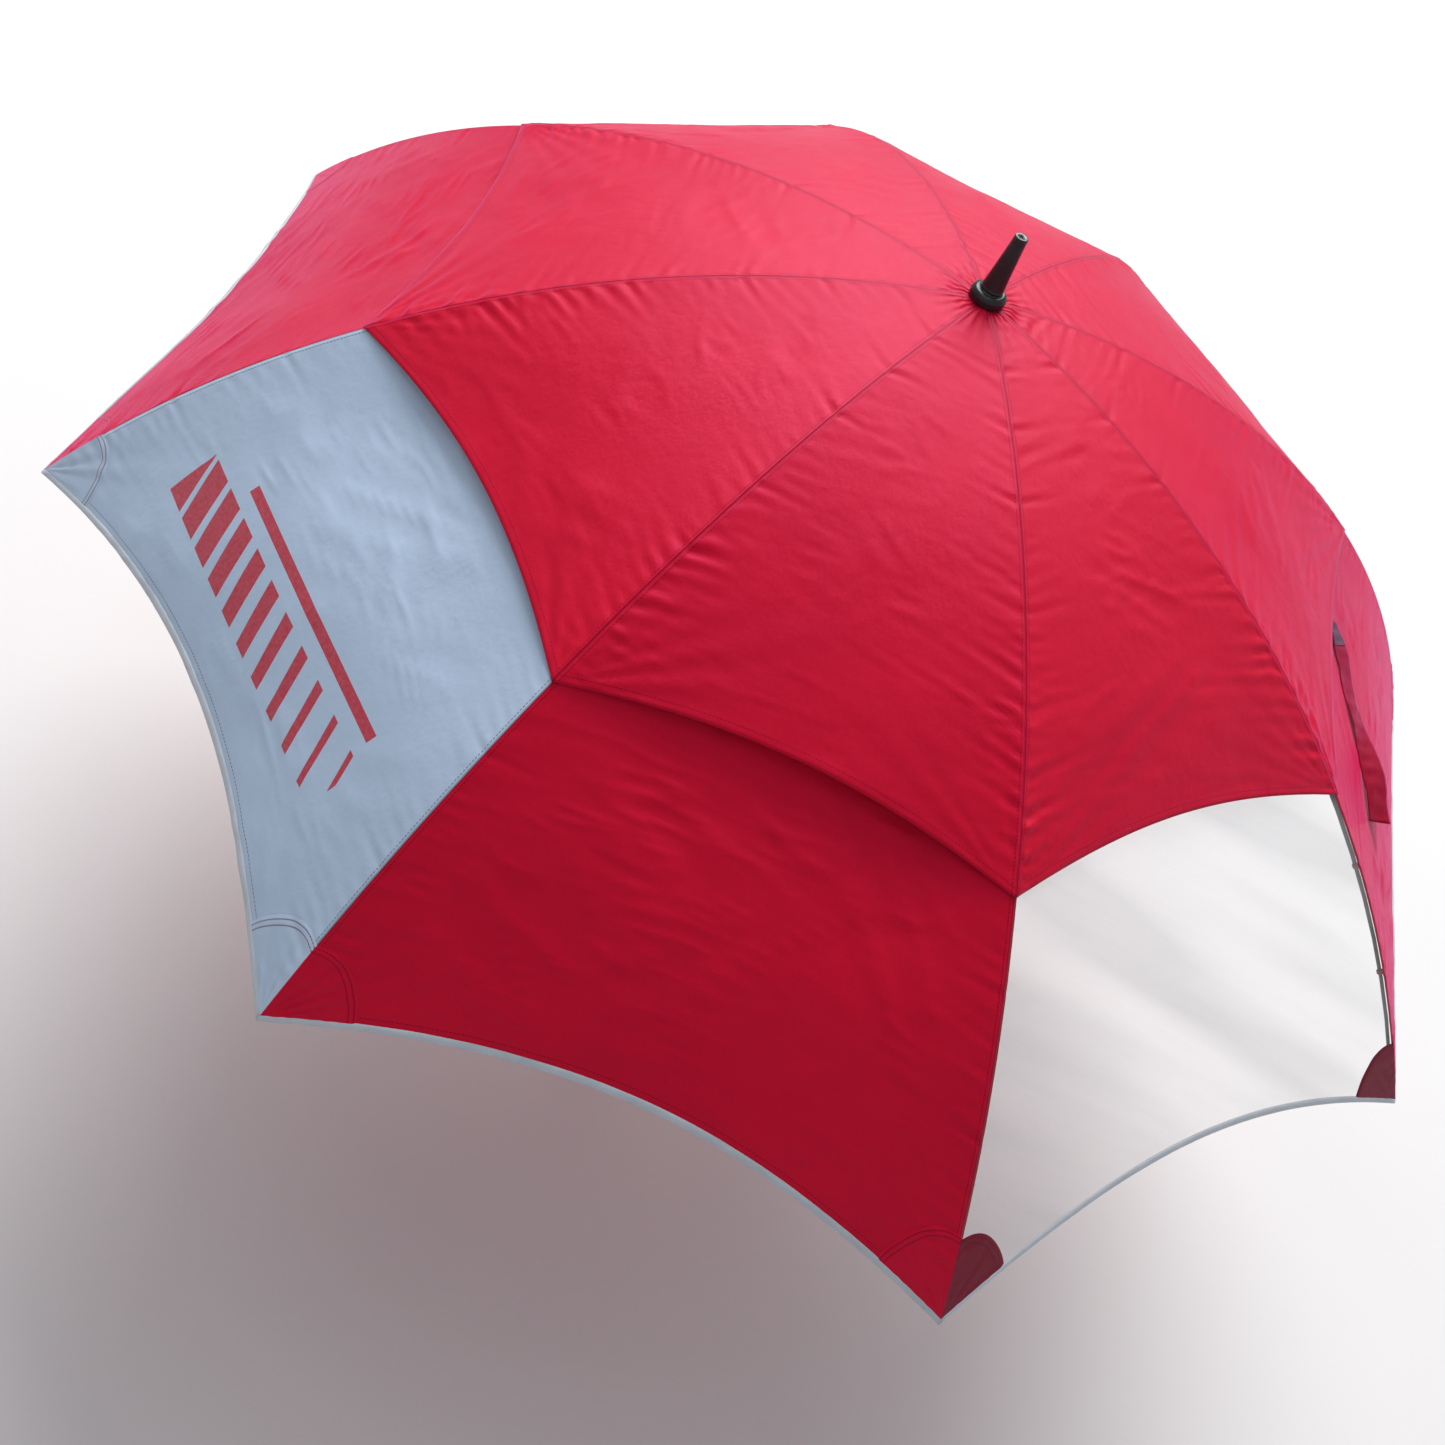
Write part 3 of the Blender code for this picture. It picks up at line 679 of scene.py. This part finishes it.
def window_material():
    """Clear flexible film: glossy, with painted reflections as soft slanting grey stripes that cloud
    it, with scuffs and taped edges.
    """
    mat, tree, shader = node_material("window_film")
    uv, _, _ = tree.uv("cloth")
    _, seam, edge = tree.uv("edges")
    turned = tree.add("ShaderNodeVectorRotate", {"Vector": uv, "Angle": -0.62},
                      rotation_type="Z_AXIS").outputs[0]
    # painted reflection: broad slanting stripes of grey on the film stand in for reflections across it
    painted_reflection_bands = tree.noise(turned, 1.0, 1, 0.4, stretch=(1.8, 15, 1))
    fine = tree.noise(turned, 1.0, 3, 0.6, stretch=(5, 60, 1))
    scuffs = tree.noise(turned, 1.0, 4, 0.7, stretch=(40, 900, 1))
    band = tree.ramp(painted_reflection_bands, 0.42, 0.62)
    tape, hem = tree.below(seam, TAPE_WIDTH), tree.below(edge, HEM_WIDTH)
    # the painted reflection stripes both cloud the film and grey its colour
    cover = tree.line(band, 0.20, 0.10)
    cover = tree.line(fine, 0.10, cover)
    cover = tree.line(tree.math("POWER", scuffs, 6.0), 0.30, cover)
    cover = tree.math("MAXIMUM", cover, tree.math("MAXIMUM", tape, hem))
    tone = tree.mix(band, (0.86, 0.87, 0.88), (0.50, 0.51, 0.53))
    tone = tree.mix(tape, tone, shade(RED, 0.45))
    rough = tree.line(scuffs, 0.15, 0.05)
    rough = tree.line(tape, 0.35, rough)
    normal = tree.bump(tree.noise(uv, 16, 2), 0.004, 0.25)
    tree.set(shader, {"Base Color": tone, "Roughness": rough, "Specular IOR Level": 0.5, "Alpha": cover,
                      "Normal": normal})
    return mat


def hard_material(name, color, roughness, grain, depth, stretch=None, spread=0.3, wear=None,
                  metallic=0.0, coat=0.0, specular=0.5):
    """Moulded, drawn or plated surface: grain, uneven tone and roughness, and worn high spots."""
    mat, tree, shader = node_material(name)
    coordinates = tree.add("ShaderNodeTexCoord").outputs["Object"]
    mottle = tree.noise(coordinates, 60, 4)
    fine = tree.noise(coordinates, grain, 3, 0.6, stretch=stretch)
    light = tuple(min(1, c * (1 + spread) + 0.003) for c in color)
    tone = tree.mix(mottle, tuple(c * (1 - spread) for c in color), light)
    if wear:
        rubbed = tree.math("POWER", tree.noise(coordinates, 34, 6, 0.75), 7.0)
        tone = tree.mix(tree.times(rubbed, 4.0), tone, wear)
    rough = tree.line(mottle, 0.18, roughness - 0.09)
    tree.set(shader, {"Base Color": tone, "Roughness": rough, "Metallic": metallic,
                      "Specular IOR Level": specular, "Coat Weight": coat, "Coat Roughness": 0.08,
                      "Normal": tree.bump(fine, depth)})
    return mat


def binding_material():
    """Silver piping: close twill with a machine stitch along its inner side."""
    mat, tree, shader = node_material("hem_piping")
    uv, around, along = tree.uv("cloth")
    twill = wave(tree, tree.math("ADD", around, along), 0.0011)
    soil = tree.noise(uv, 30, 4)
    tone = tree.mix(soil, shade(PIPING, 0.72), shade(PIPING, 1.15))
    stitches = stitch_row(tree, around, along, 0.0088)
    normal = tree.bump(twill, 0.00012, 0.6)
    tree.set(shader, {"Base Color": tree.mix(stitches, tone, (0.10, 0.11, 0.13)),
                      "Roughness": tree.line(soil, 0.2, 0.32),
                      "Sheen Weight": 0.2,
                      "Normal": tree.bump(stitches, -0.0004, 0.8, normal)})
    return mat


def hook_material():
    """Hook-and-loop tape: a dense grey-mauve nap."""
    mat, tree, shader = node_material("hook_and_loop")
    uv, _, _ = tree.uv("cloth")
    nap = tree.noise(uv, 1500, 3, 0.7)
    tree.set(shader, {"Base Color": tree.mix(nap, (0.07, 0.02, 0.05), (0.22, 0.11, 0.18)),
                      "Roughness": 0.95, "Specular IOR Level": 0.2, "Normal": tree.bump(nap, 0.0006)})
    return mat


def patch_material(name, color, thread, sheen, nap=0.36):
    """Reinforcement cloth with two rows of stitches just inside its rounded edge."""
    mat, tree, shader = node_material(name)
    uv, inward, around = tree.uv("cloth")
    rows = tree.math("MAXIMUM", *(stitch_row(tree, inward, around, at) for at in (0.0026, 0.0062)))
    mottle = tree.noise(uv, 60, 4)
    tone = tree.mix(mottle, shade(color, 0.82), color)
    normal = tree.bump(tree.noise(uv, 120, 4), 0.0008, 0.3)
    normal = tree.bump(weave(tree, inward, around, 0.0006), 0.00006, 0.5, normal)
    looks = {"Base Color": tree.mix(rows, tone, thread),
             "Roughness": tree.line(mottle, 0.2, 0.32),
             "Normal": tree.bump(rows, 0.0004, 0.8, normal)}
    tree.set(shader, looks | satin(sheen, nap))
    return mat


def grip_material():
    """Fine-grained foam rubber with a cross-cut tread."""
    mat, tree, shader = node_material("grip_foam_detail")
    uv, around, along = tree.uv("grip")
    pores = tree.noise(uv, 1800, 3, 0.7)
    mottle = tree.noise(uv, 45, 4)
    cuts = []
    for direction in ("ADD", "SUBTRACT"):
        groove = tree.math("ABSOLUTE", wave(tree, tree.math(direction, around, along), 0.0042))
        cuts.append(tree.math("POWER", groove, 8.0))
    normal = tree.bump(tree.math("MAXIMUM", *cuts), -0.0005, 0.8)
    tree.set(shader, {"Base Color": tree.mix(mottle, (0.016, 0.016, 0.018), (0.040, 0.039, 0.040)),
                      "Roughness": tree.line(mottle, -0.25, 0.90),
                      "Normal": tree.bump(pores, 0.00012, 0.6, normal)})
    return mat


# ---- canopy ----

def spread(count):
    """Values from 0 to 1, closer together near both ends."""
    t, ease = np.linspace(0, 1, count), 0.6
    return (1 - ease) * t + ease * (t - np.sin(math.tau * t) / math.tau)


def upper_gore(gore, mat):
    rows, columns = 150, 57
    v, u = np.meshgrid(spread(columns), np.linspace(0, 1, rows))
    end = free_edge(True, v)
    share = HOLE_SHARE + (end - HOLE_SHARE) * u
    from_edge = (end - share) * ARC
    lift = 0.0002 * (1 - smooth(0.0072, 0.0084, from_edge))
    obj = cloth_piece(f"upper_canopy_{gore_name(gore)}", gore, True, share, v, lift,
                      grid_faces(rows, columns), mat)
    thicken(obj, CLOTH_THICKNESS)
    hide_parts(f"upper_gore_{gore_name(gore)}")
    declare_sheet(share, v)


def lower_gore(gore, mat):
    rows, columns = 130, 61
    v, u = np.meshgrid(spread(columns), np.linspace(0, 1, rows))
    share = LAP_SHARE + (free_edge(False, v) - LAP_SHARE) * u
    obj = cloth_piece(f"lower_canopy_{gore_name(gore)}", gore, False, share, v, 0.0,
                      grid_faces(rows, columns), mat)
    if gore != WINDOW_GORE:
        thicken(obj, CLOTH_THICKNESS)
    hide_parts(f"lower_gore_{gore_name(gore)}")
    return obj, share, v


def declare_sheet(share, across):
    """Works out points on a gore's smooth surface; nothing is done with them."""
    points = gore_points(0, share, across, 0)


def hem_binding(gore, mat):
    """Rolled binding sewn over the hem."""
    count, ring = 121, 12
    along = np.linspace(0, 1, count)
    turn = np.linspace(0, math.tau, ring, endpoint=False)
    across = np.repeat(along[:, None], ring, 1)
    end = free_edge(False, across)
    bead = np.cos(turn) * 0.0031 * (1 + 0.25 * (np.cos(turn) > 0))
    share = end + (0.0006 + bead[None, :]) / ARC
    pinch = 1 + 0.10 * np.sin(math.tau * along * 170)[:, None]
    lift = -0.0002 + 0.0014 * np.sin(turn)[None, :] * pinch
    uv = (np.repeat(turn[None, :] * 0.0028, count, 0), across * chord(1))
    obj = cloth_piece(f"hem_binding_{gore_name(gore)}", gore, False, share, across, lift,
                      capped_faces(count, ring), mat, uv)
    recalculate(obj)
    return obj


def corner_patch(gore, side, radius, mat):
    """Rounded reinforcement in a lower corner, between the rib seam and the hem."""
    rings, spokes, thickness = 22, 24, 0.0007
    away, angle = np.meshgrid(np.linspace(0.02, 1, rings), np.linspace(0, math.pi / 2, spokes),
                              indexing="ij")
    reach = radius * (1.02 - 0.12 * np.sin(angle) ** 2 - 0.13 * np.sin(2 * angle))
    away = away * reach
    off = away * np.sin(angle) / chord(1)
    across = off if side == 0 else 1 - off
    share = free_edge(False, across) - away * np.cos(angle) / ARC
    height = thickness * smooth(0, 0.0012, reach - away) + 0.0001
    name = f"corner_patch_{gore_name(gore)}_{('near', 'far')[side]}"
    obj = cloth_piece(name, gore, False, share, across, height, grid_faces(rings, spokes), mat,
                      uv=(reach - away, angle * radius))
    return obj


STRAP_START, STRAP_END = (0.603, 0.600), (0.752, 0.235)  # share and across of its two ends
STRAP_LENGTH, STRAP_HALF = 0.213, 0.0125


def strap_course(u, v, width_share):
    """Share and across of a point on the strap: u along it from 0 to 1, v across it from -1 to 1."""
    du, dv = STRAP_END[0] - STRAP_START[0], STRAP_END[1] - STRAP_START[1]
    share, across = STRAP_START[0] + du * u, STRAP_START[1] + dv * u
    width = chord(share)
    run = np.hypot(du * ARC, dv * width)
    sideways = v * STRAP_HALF * width_share
    return share - sideways * dv * width / run / ARC, across + sideways * du * ARC / run / width


def strap_piece(name, low, high, lift, width_share, mat):
    """Strip of the strap: sewn down at its top, its outer side standing off the cloth below."""
    rows, columns = 70, 13
    v, u = np.meshgrid(np.linspace(-1, 1, columns), np.linspace(low, high, rows))
    waist = 1 - 0.16 * np.exp(-((u - 0.24) / 0.05) ** 2)
    share, across = strap_course(u, v * waist, width_share)
    near_top = 0.0060 * smooth(0.0, 0.2, u) * (1 - smooth(0.2, 0.45, u))
    stand = (0.5 + 0.5 * v) * (near_top + 0.0150 * smooth(0.30, 0.9, u))
    slack = 0.0012 * np.sin(u * 17.0 + 1.4 * v) * smooth(0.25, 0.4, u) + 0.0014
    crimp = 0.0005 * np.sin(u * 75.0 + 2 * np.sin(9 * u)) * (1 - v ** 2)
    height = lift + slack + crimp + stand
    obj = cloth_piece(name, STRAP_GORE, False, share, across, height, grid_faces(rows, columns), mat,
                      uv=(v * STRAP_HALF, u * STRAP_LENGTH),
                      rolled=(across * 0.82, 0.0006 + 0.5 * lift))
    thicken(obj, STRAP_THICKNESS)
    return obj


def build_canopy():
    red = cloth_material("red_satin", RED, shade(RED, 0.82), shade(RED, 1.12))
    silver = cloth_material("silver_satin", SILVER, shade(SILVER, 0.88), shade(SILVER, 1.10),
                            thread=(0.10, 0.10, 0.12), graphic=(0.50, 0.012, 0.030), roughness=0.38,
                            sheen=SILVER_SHEEN)
    red_patch = patch_material("red_patch", shade(RED, 0.30), shade(RED, 0.1), RED_SHEEN, nap=0.05)
    red_corner = patch_material("red_corner", RED, shade(RED, 0.4), RED_SHEEN)
    silver_corner = patch_material("silver_corner", SILVER, (0.12, 0.03, 0.05), SILVER_SHEEN)
    binding = binding_material()
    looks = {gore: (red, "red_cloth", red_corner, 0.070, "red_cloth") for gore in range(len(LETTERS))}
    looks[SILVER_GORE] = (silver, "silver_cloth", silver_corner, 0.070, "silver_cloth")
    looks[WINDOW_GORE] = (window_material(), "clear_window", red_patch, 0.066, "red_cloth")
    for gore, (mat, slot, corner, radius, corner_slot) in looks.items():
        upper_gore(gore, red)
        obj, share, across = lower_gore(gore, mat)
        extras = [hem_binding(gore, binding)]
        extras += [corner_patch(gore, side, radius, corner) for side in (0, 1)]
        declare_sheet(share, across)
    # painted shade: the strap's cloth is the canopy's red darkened to about half, for the shade it
    # hangs in where it curls off the canopy
    shaded_strap_cloth = cloth_material("shaded_strap_cloth", *[shade(RED, k) for k in (0.5, 0.35, 0.55)],
                                 edge_row=0.5, glow=0.02)
    strap = strap_piece("tie_strap_cloth", 0.0, 1.0, 0.0002, 1.0, shaded_strap_cloth)
    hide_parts("tie_strap")
    strap_piece("tie_strap_hooks", 0.015, 0.145, 0.0010, 0.86, hook_material())


# ---- frame ----

def rib_point(letter, share, depth=RIB_DEPTH):
    return Vector(gore_points(LETTERS.index(letter), share, 0.0, depth))


def rib_side(letter):
    """Level direction square to a rib."""
    azimuth = FIRST_RIB + LETTERS.index(letter) * GORE_ANGLE
    return Vector((-math.sin(azimuth), math.cos(azimuth), 0))


def stand_in(obj, part):
    """A fixed piece that is seen in place of a CAD part."""
    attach(obj, "root")
    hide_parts(part)


def flex_sleeve(letter, mat):
    """Short flexible sleeve over the rib where it bends when folded."""
    count = 25
    shares = np.linspace(FLEX_SHARE - 0.0085, FLEX_SHARE + 0.0150, count)
    bulge = [0.0027 + 0.0004 * math.sin(i * 1.9) ** 2 for i in range(count)]
    obj = tube(f"flex_sleeve_{letter}", [rib_point(letter, s) for s in shares], bulge, mat, 16)
    rib_point(letter, FLEX_SHARE - 0.004)
    rib_point(letter, FLEX_SHARE + 0.004)
    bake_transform(obj)


def thread_ties(letter, part, shares, mat):
    """Bands of thread, four turns each, that sew the canopy's seam to the rib."""
    rings, sides, radius, wire = 20, 6, 0.0027, 0.0004
    points, faces = [], []
    for share in shares:
        here = rib_point(letter, share)
        along = (rib_point(letter, share + 0.002) - here).normalized()
        side = rib_side(letter)
        up = along.cross(side)
        for turn in range(4):
            middle = here + along * 0.0009 * (turn - 1.5)
            first = len(points)
            for i in range(rings):
                t = math.tau * i / rings
                spoke = math.cos(t) * side + math.sin(t) * up
                points += [middle + spoke * (radius + wire * math.cos(a)) + along * wire * math.sin(a)
                           for a in np.arange(sides) * math.tau / sides]
            for i in range(rings):
                one, two = first + i * sides, first + (i + 1) % rings * sides
                for j in range(sides):
                    k = (j + 1) % sides
                    faces.append((one + j, one + k, two + k, two + j))
    obj = new_mesh(f"thread_ties_{part}_{letter}", points, faces, mat)
    recalculate(obj)
    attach(obj, f"rib_{part}_{letter}")


def tip_pocket(letter, mat):
    """Small stitched pocket under the hem's point that holds the rib's end."""
    rings, sides = 14, 20
    sections = []
    along = (rib_point(letter, 0.995) - rib_point(letter, 0.985)).normalized()
    side = rib_side(letter)
    up = along.cross(side)
    for i in range(rings):
        u = i / (rings - 1)
        half = 0.0052 * math.sqrt(max(0.02, 1 - (2 * u - 1) ** 4))
        tall = 0.0034 * math.sqrt(max(0.02, 1 - (2 * u - 1) ** 6))
        centre = rib_point(letter, 0.966 + 0.036 * u, RIB_DEPTH - 0.0003)
        sections.append([centre + half * math.cos(t) * side + tall * math.sin(t) * up
                         for t in np.linspace(0, math.tau, sides, endpoint=False)])
    obj = loft(f"tip_pocket_{letter}", sections, mat)
    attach(obj, f"rib_outer_{letter}")


def build_frame():
    fibre = hard_material("fibreglass", (0.022, 0.022, 0.026), 0.32, grain=160, depth=0.00005,
                          stretch=(1, 1, 0.08), coat=0.25)
    nylon = hard_material("nylon", (0.020, 0.020, 0.023), 0.42, grain=900, depth=0.00003)
    steel = hard_material("plated_steel", (0.56, 0.57, 0.60), 0.28, grain=500, depth=0.00002,
                          spread=0.12, wear=(0.30, 0.29, 0.28), metallic=1.0)
    gloss = hard_material("gloss_black", (0.010, 0.010, 0.012), 0.26, grain=300, depth=0.00002,
                          wear=(0.10, 0.10, 0.10), coat=0.12, specular=0.25)
    webbing = hard_material("tip_webbing", (0.030, 0.028, 0.030), 0.8, grain=1400, depth=0.0003)
    thread = hard_material("thread", (0.34, 0.010, 0.035), 0.7, grain=2500, depth=0.0002)
    button = hard_material("button_plastic", (0.42, 0.010, 0.025), 0.30, grain=800, depth=0.00002,
                           coat=0.3)
    looks = {"black_fibreglass": fibre, "black_nylon": nylon, "plated_steel": steel,
             "gloss_black": gloss, "button_red": button, "grip_foam": nylon}
    for part in frame["record"]["subparts"]:
        look = looks.get(part["material_slot"])
        if look:
            node = frame["nodes"][part["node"]]
            node.data.materials.clear()
            node.data.materials.append(look)
    for letter in LETTERS:
        flex_sleeve(letter, nylon)
        thread_ties(letter, "inner", INNER_TIES, thread)
        thread_ties(letter, "outer", OUTER_TIES, thread)
        tip_pocket(letter, webbing)
    build_spring(steel)
    build_ferrule(gloss)
    build_shaft(fibre)
    build_handle(gloss)


# ---- shaft line ----

BORE = 0.0073  # radius of the holes that the shaft passes through


def arc_profile(centre, radius, start, end, count):
    """Points of a round stretch of an outline, from start to end in degrees."""
    return [(centre[0] + radius * math.cos(a), centre[1] + radius * math.sin(a))
            for a in np.radians(np.linspace(start, end, count))]


def build_ferrule(gloss):
    """Turned collar over the crown and the spike on it."""
    low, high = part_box("ferrule_collar")
    r, z0, z1 = high.x, low.z, high.z
    profile = [(BORE, z0), (r - 0.0012, z0)]
    profile += arc_profile((r - 0.0012, z0 + 0.0012), 0.0012, -80, 0, 6) + [(r, z0 + 0.0048)]
    profile += arc_profile((r - 0.0048, z0 + 0.0052), 0.0048, 5, 78, 12)
    profile += [(0.0118, z1 - 0.0004), (0.0114, z1 - 0.0011), (0.0108, z1 - 0.0011), (0.0104, z1),
                (BORE, z1)]
    stand_in(lathe("ferrule_collar_gloss", profile, gloss), "ferrule_collar")

    low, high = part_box("ferrule_spike")
    z0, z1 = low.z, high.z
    profile = [(BORE, z0 + 0.008), (BORE, z0), (0.0096, z0)]
    profile += arc_profile((0.0094, z0 + 0.0011), 0.0011, -60, 60, 7)
    profile += [(0.0099, z0 + 0.0032), (0.0098, z0 + 0.0046)]
    for i in range(12):
        t = i / 11
        profile.append((0.0097 - 0.0035 * t ** 0.85, z0 + 0.006 + (z1 - z0 - 0.010) * t))
    profile += arc_profile((0.0052, z1 - 0.0010), 0.0010, 0, 90, 6)
    profile += [(0.0015, z1), (0.0011, z1 - 0.0004), (0.0004, z1 - 0.0008)]
    stand_in(lathe("ferrule_spike_gloss", profile, gloss), "ferrule_spike")


def grip_sleeve():
    """Foam sleeve with ring grooves and a flared foot, leaving the button's pocket open."""
    low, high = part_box("handle_grip")
    button_low, button_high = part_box("push_button")
    button_z = (button_low.z + button_high.z) / 2
    pocket = (button_high.z - button_low.z) / 2 + 0.0003
    rows, columns = 220, 144
    z = np.linspace(low.z, high.z, rows)
    turn = np.linspace(0, math.tau, columns, endpoint=False)
    u = (z - low.z) / (high.z - 0.003 - low.z)
    radius = 0.0162 + 0.0008 * np.cos(math.tau * u) + 0.0010 * np.exp(-((u - 0.05) / 0.1) ** 2)
    for groove in (-0.052, -0.046, 0.020, 0.026):
        radius -= 0.0007 * np.exp(-((z - groove) / 0.0009) ** 2)
    radius = np.minimum(radius, 0.0134 + np.sqrt(np.maximum(0, high.z - z)) * 0.060)
    radius = np.minimum(radius, 0.0158 + np.sqrt(np.maximum(0, z - low.z)) * 0.050)
    zz, tt = np.meshgrid(z, turn, indexing="ij")
    rr = np.repeat(radius[:, None], columns, 1)
    x, y = rr * np.cos(tt), rr * np.sin(tt)
    off = np.where(x > 0, np.hypot(y, zz - button_z), np.inf)
    x = np.where(off < pocket + 0.0022, x - 0.0004, x)
    x = np.where(off < pocket + 0.0002, 0.0096, x)
    obj = new_mesh("handle_grip_sleeve", np.stack([x, y, zz], -1), capped_faces(rows, columns),
                   grip_material())
    add_uv(obj, "grip", tt * 0.0165, zz)
    recalculate(obj)
    stand_in(obj, "handle_grip")


def build_handle(gloss):
    grip_sleeve()
    low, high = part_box("handle_end_cap")
    r = high.x
    z0, z1 = low.z, high.z
    profile = [(0.0010, z0), (0.0040, z0), (0.0044, z0 + 0.0004), (0.0136, z0 + 0.0004), (0.0140, z0)]
    profile += arc_profile((r - 0.0026, z0 + 0.0026), 0.0026, -90, 0, 10)
    profile += [(r, z1 - 0.0010), (r - 0.0006, z1 - 0.0002), (0.0010, z1 - 0.0002)]
    stand_in(lathe("handle_end_cap_gloss", profile, gloss), "handle_end_cap")

    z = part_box("handle_grip")[1].z
    profile = [(BORE, z + 0.0002), (0.0128, z + 0.0002)]
    profile += arc_profile((0.0120, z + 0.0022), 0.0020, -60, 60, 8) + [(BORE, z + 0.0046)]
    ring = lathe("grip_top_ring", profile, gloss)
    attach(ring, "root")


def build_spring(steel):
    """Compression spring behind the button, drawn at rest length; it is not squeezed as the button goes
    in.
    """
    low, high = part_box("button_spring")
    wire, turns, steps = 0.00032, 4, 160
    middle, coil = (low.z + high.z) / 2, (high.z - low.z) / 2 - 0.0004
    points = []
    for i in range(steps + 1):
        u = i / steps
        angle = math.tau * turns * u
        along = low.x + wire + (high.x - low.x - 2 * wire) * smooth(-0.06, 1.06, u)
        points.append((along, coil * math.cos(angle), middle + coil * math.sin(angle)))
    spring = tube("button_spring_coil", points, wire, steel, 8)
    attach(spring, "root")
    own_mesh(spring)
    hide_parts("button_spring")


def build_shaft(fibre):
    low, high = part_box("shaft")
    bore = 0.0050
    outer = [(high.x, z) for z in np.linspace(low.z, high.z, 61)]
    profile = [(bore, low.z)] + outer + [(bore, high.z)]
    stand_in(lathe("shaft_tube", profile, fibre, 64), "shaft")


# ---- studio ----

def area_light(name, place, aim, size, power, color):
    data = bpy.data.lights.new(name, "AREA")
    data.shape = "DISK"
    data.size = size
    data.energy = power
    data.color = color
    obj = bpy.data.objects.new(name, data)
    bpy.context.scene.collection.objects.link(obj)
    obj.location = place
    obj.rotation_euler = (aim - place).to_track_quat("-Z", "Y").to_euler()
    obj.visible_camera = False


def floor_material():
    """Pale floor, painted lighter with distance to make up for the lamps' light falling off far away.
    """
    mat, tree, shader = node_material("pale_floor")
    coordinates = tree.add("ShaderNodeTexCoord").outputs["Object"]
    away = tree.add("ShaderNodeVectorMath", {0: coordinates}, operation="LENGTH").outputs["Value"]
    # painted light: the floor's colour rises from about 0.68 to 0.94 between 3 and 16 m out, where the
    # lamps' light falls off
    far = tree.ramp(away, 3.0, 16.0, "SMOOTHSTEP")
    near = tree.mix(tree.noise(coordinates, 3, 3), (0.66, 0.66, 0.66), (0.70, 0.70, 0.70))
    tree.set(shader, {"Base Color": tree.mix(far, near, (0.93, 0.94, 0.95)), "Roughness": 0.9})
    return mat


def build_studio():
    scene = bpy.context.scene
    data = bpy.data.cameras.new("camera")
    data.lens = CAMERA_LENS
    data.sensor_width = 36
    camera = bpy.data.objects.new("camera", data)
    scene.collection.objects.link(camera)
    camera.location = Vector((0, 0, APEX_Z)) + CAMERA_FROM_APEX
    camera.rotation_euler = [math.radians(a) for a in CAMERA_TURN]
    scene.camera = camera

    z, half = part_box("handle_end_cap")[0].z - 0.0005, 90.0
    corners = [(-half, -half, z), (half, -half, z), (half, half, z), (-half, half, z)]
    new_mesh("floor", corners, [(0, 1, 2, 3)], floor_material(), smooth_shading=False)

    scene.world = bpy.data.worlds.new("studio")
    scene.world.use_nodes = True
    sky = scene.world.node_tree
    Tree(sky).set(sky.nodes["Background"], {"Color": (0.93, 0.96, 1.0), "Strength": 0.48})
    aim = Vector((0, 0, APEX_Z - 0.2))
    area_light("key_light", aim + Vector((-2.6, 4.5, 5.4)), aim, 5.5, 840, (1.0, 0.98, 0.97))
    area_light("top_light", aim + Vector((-0.8, -0.2, 4.5)), aim, 3.5, 28, (0.97, 0.98, 1.0))
    scene.view_settings.view_transform = "Standard"


build_canopy()
build_frame()
build_studio()
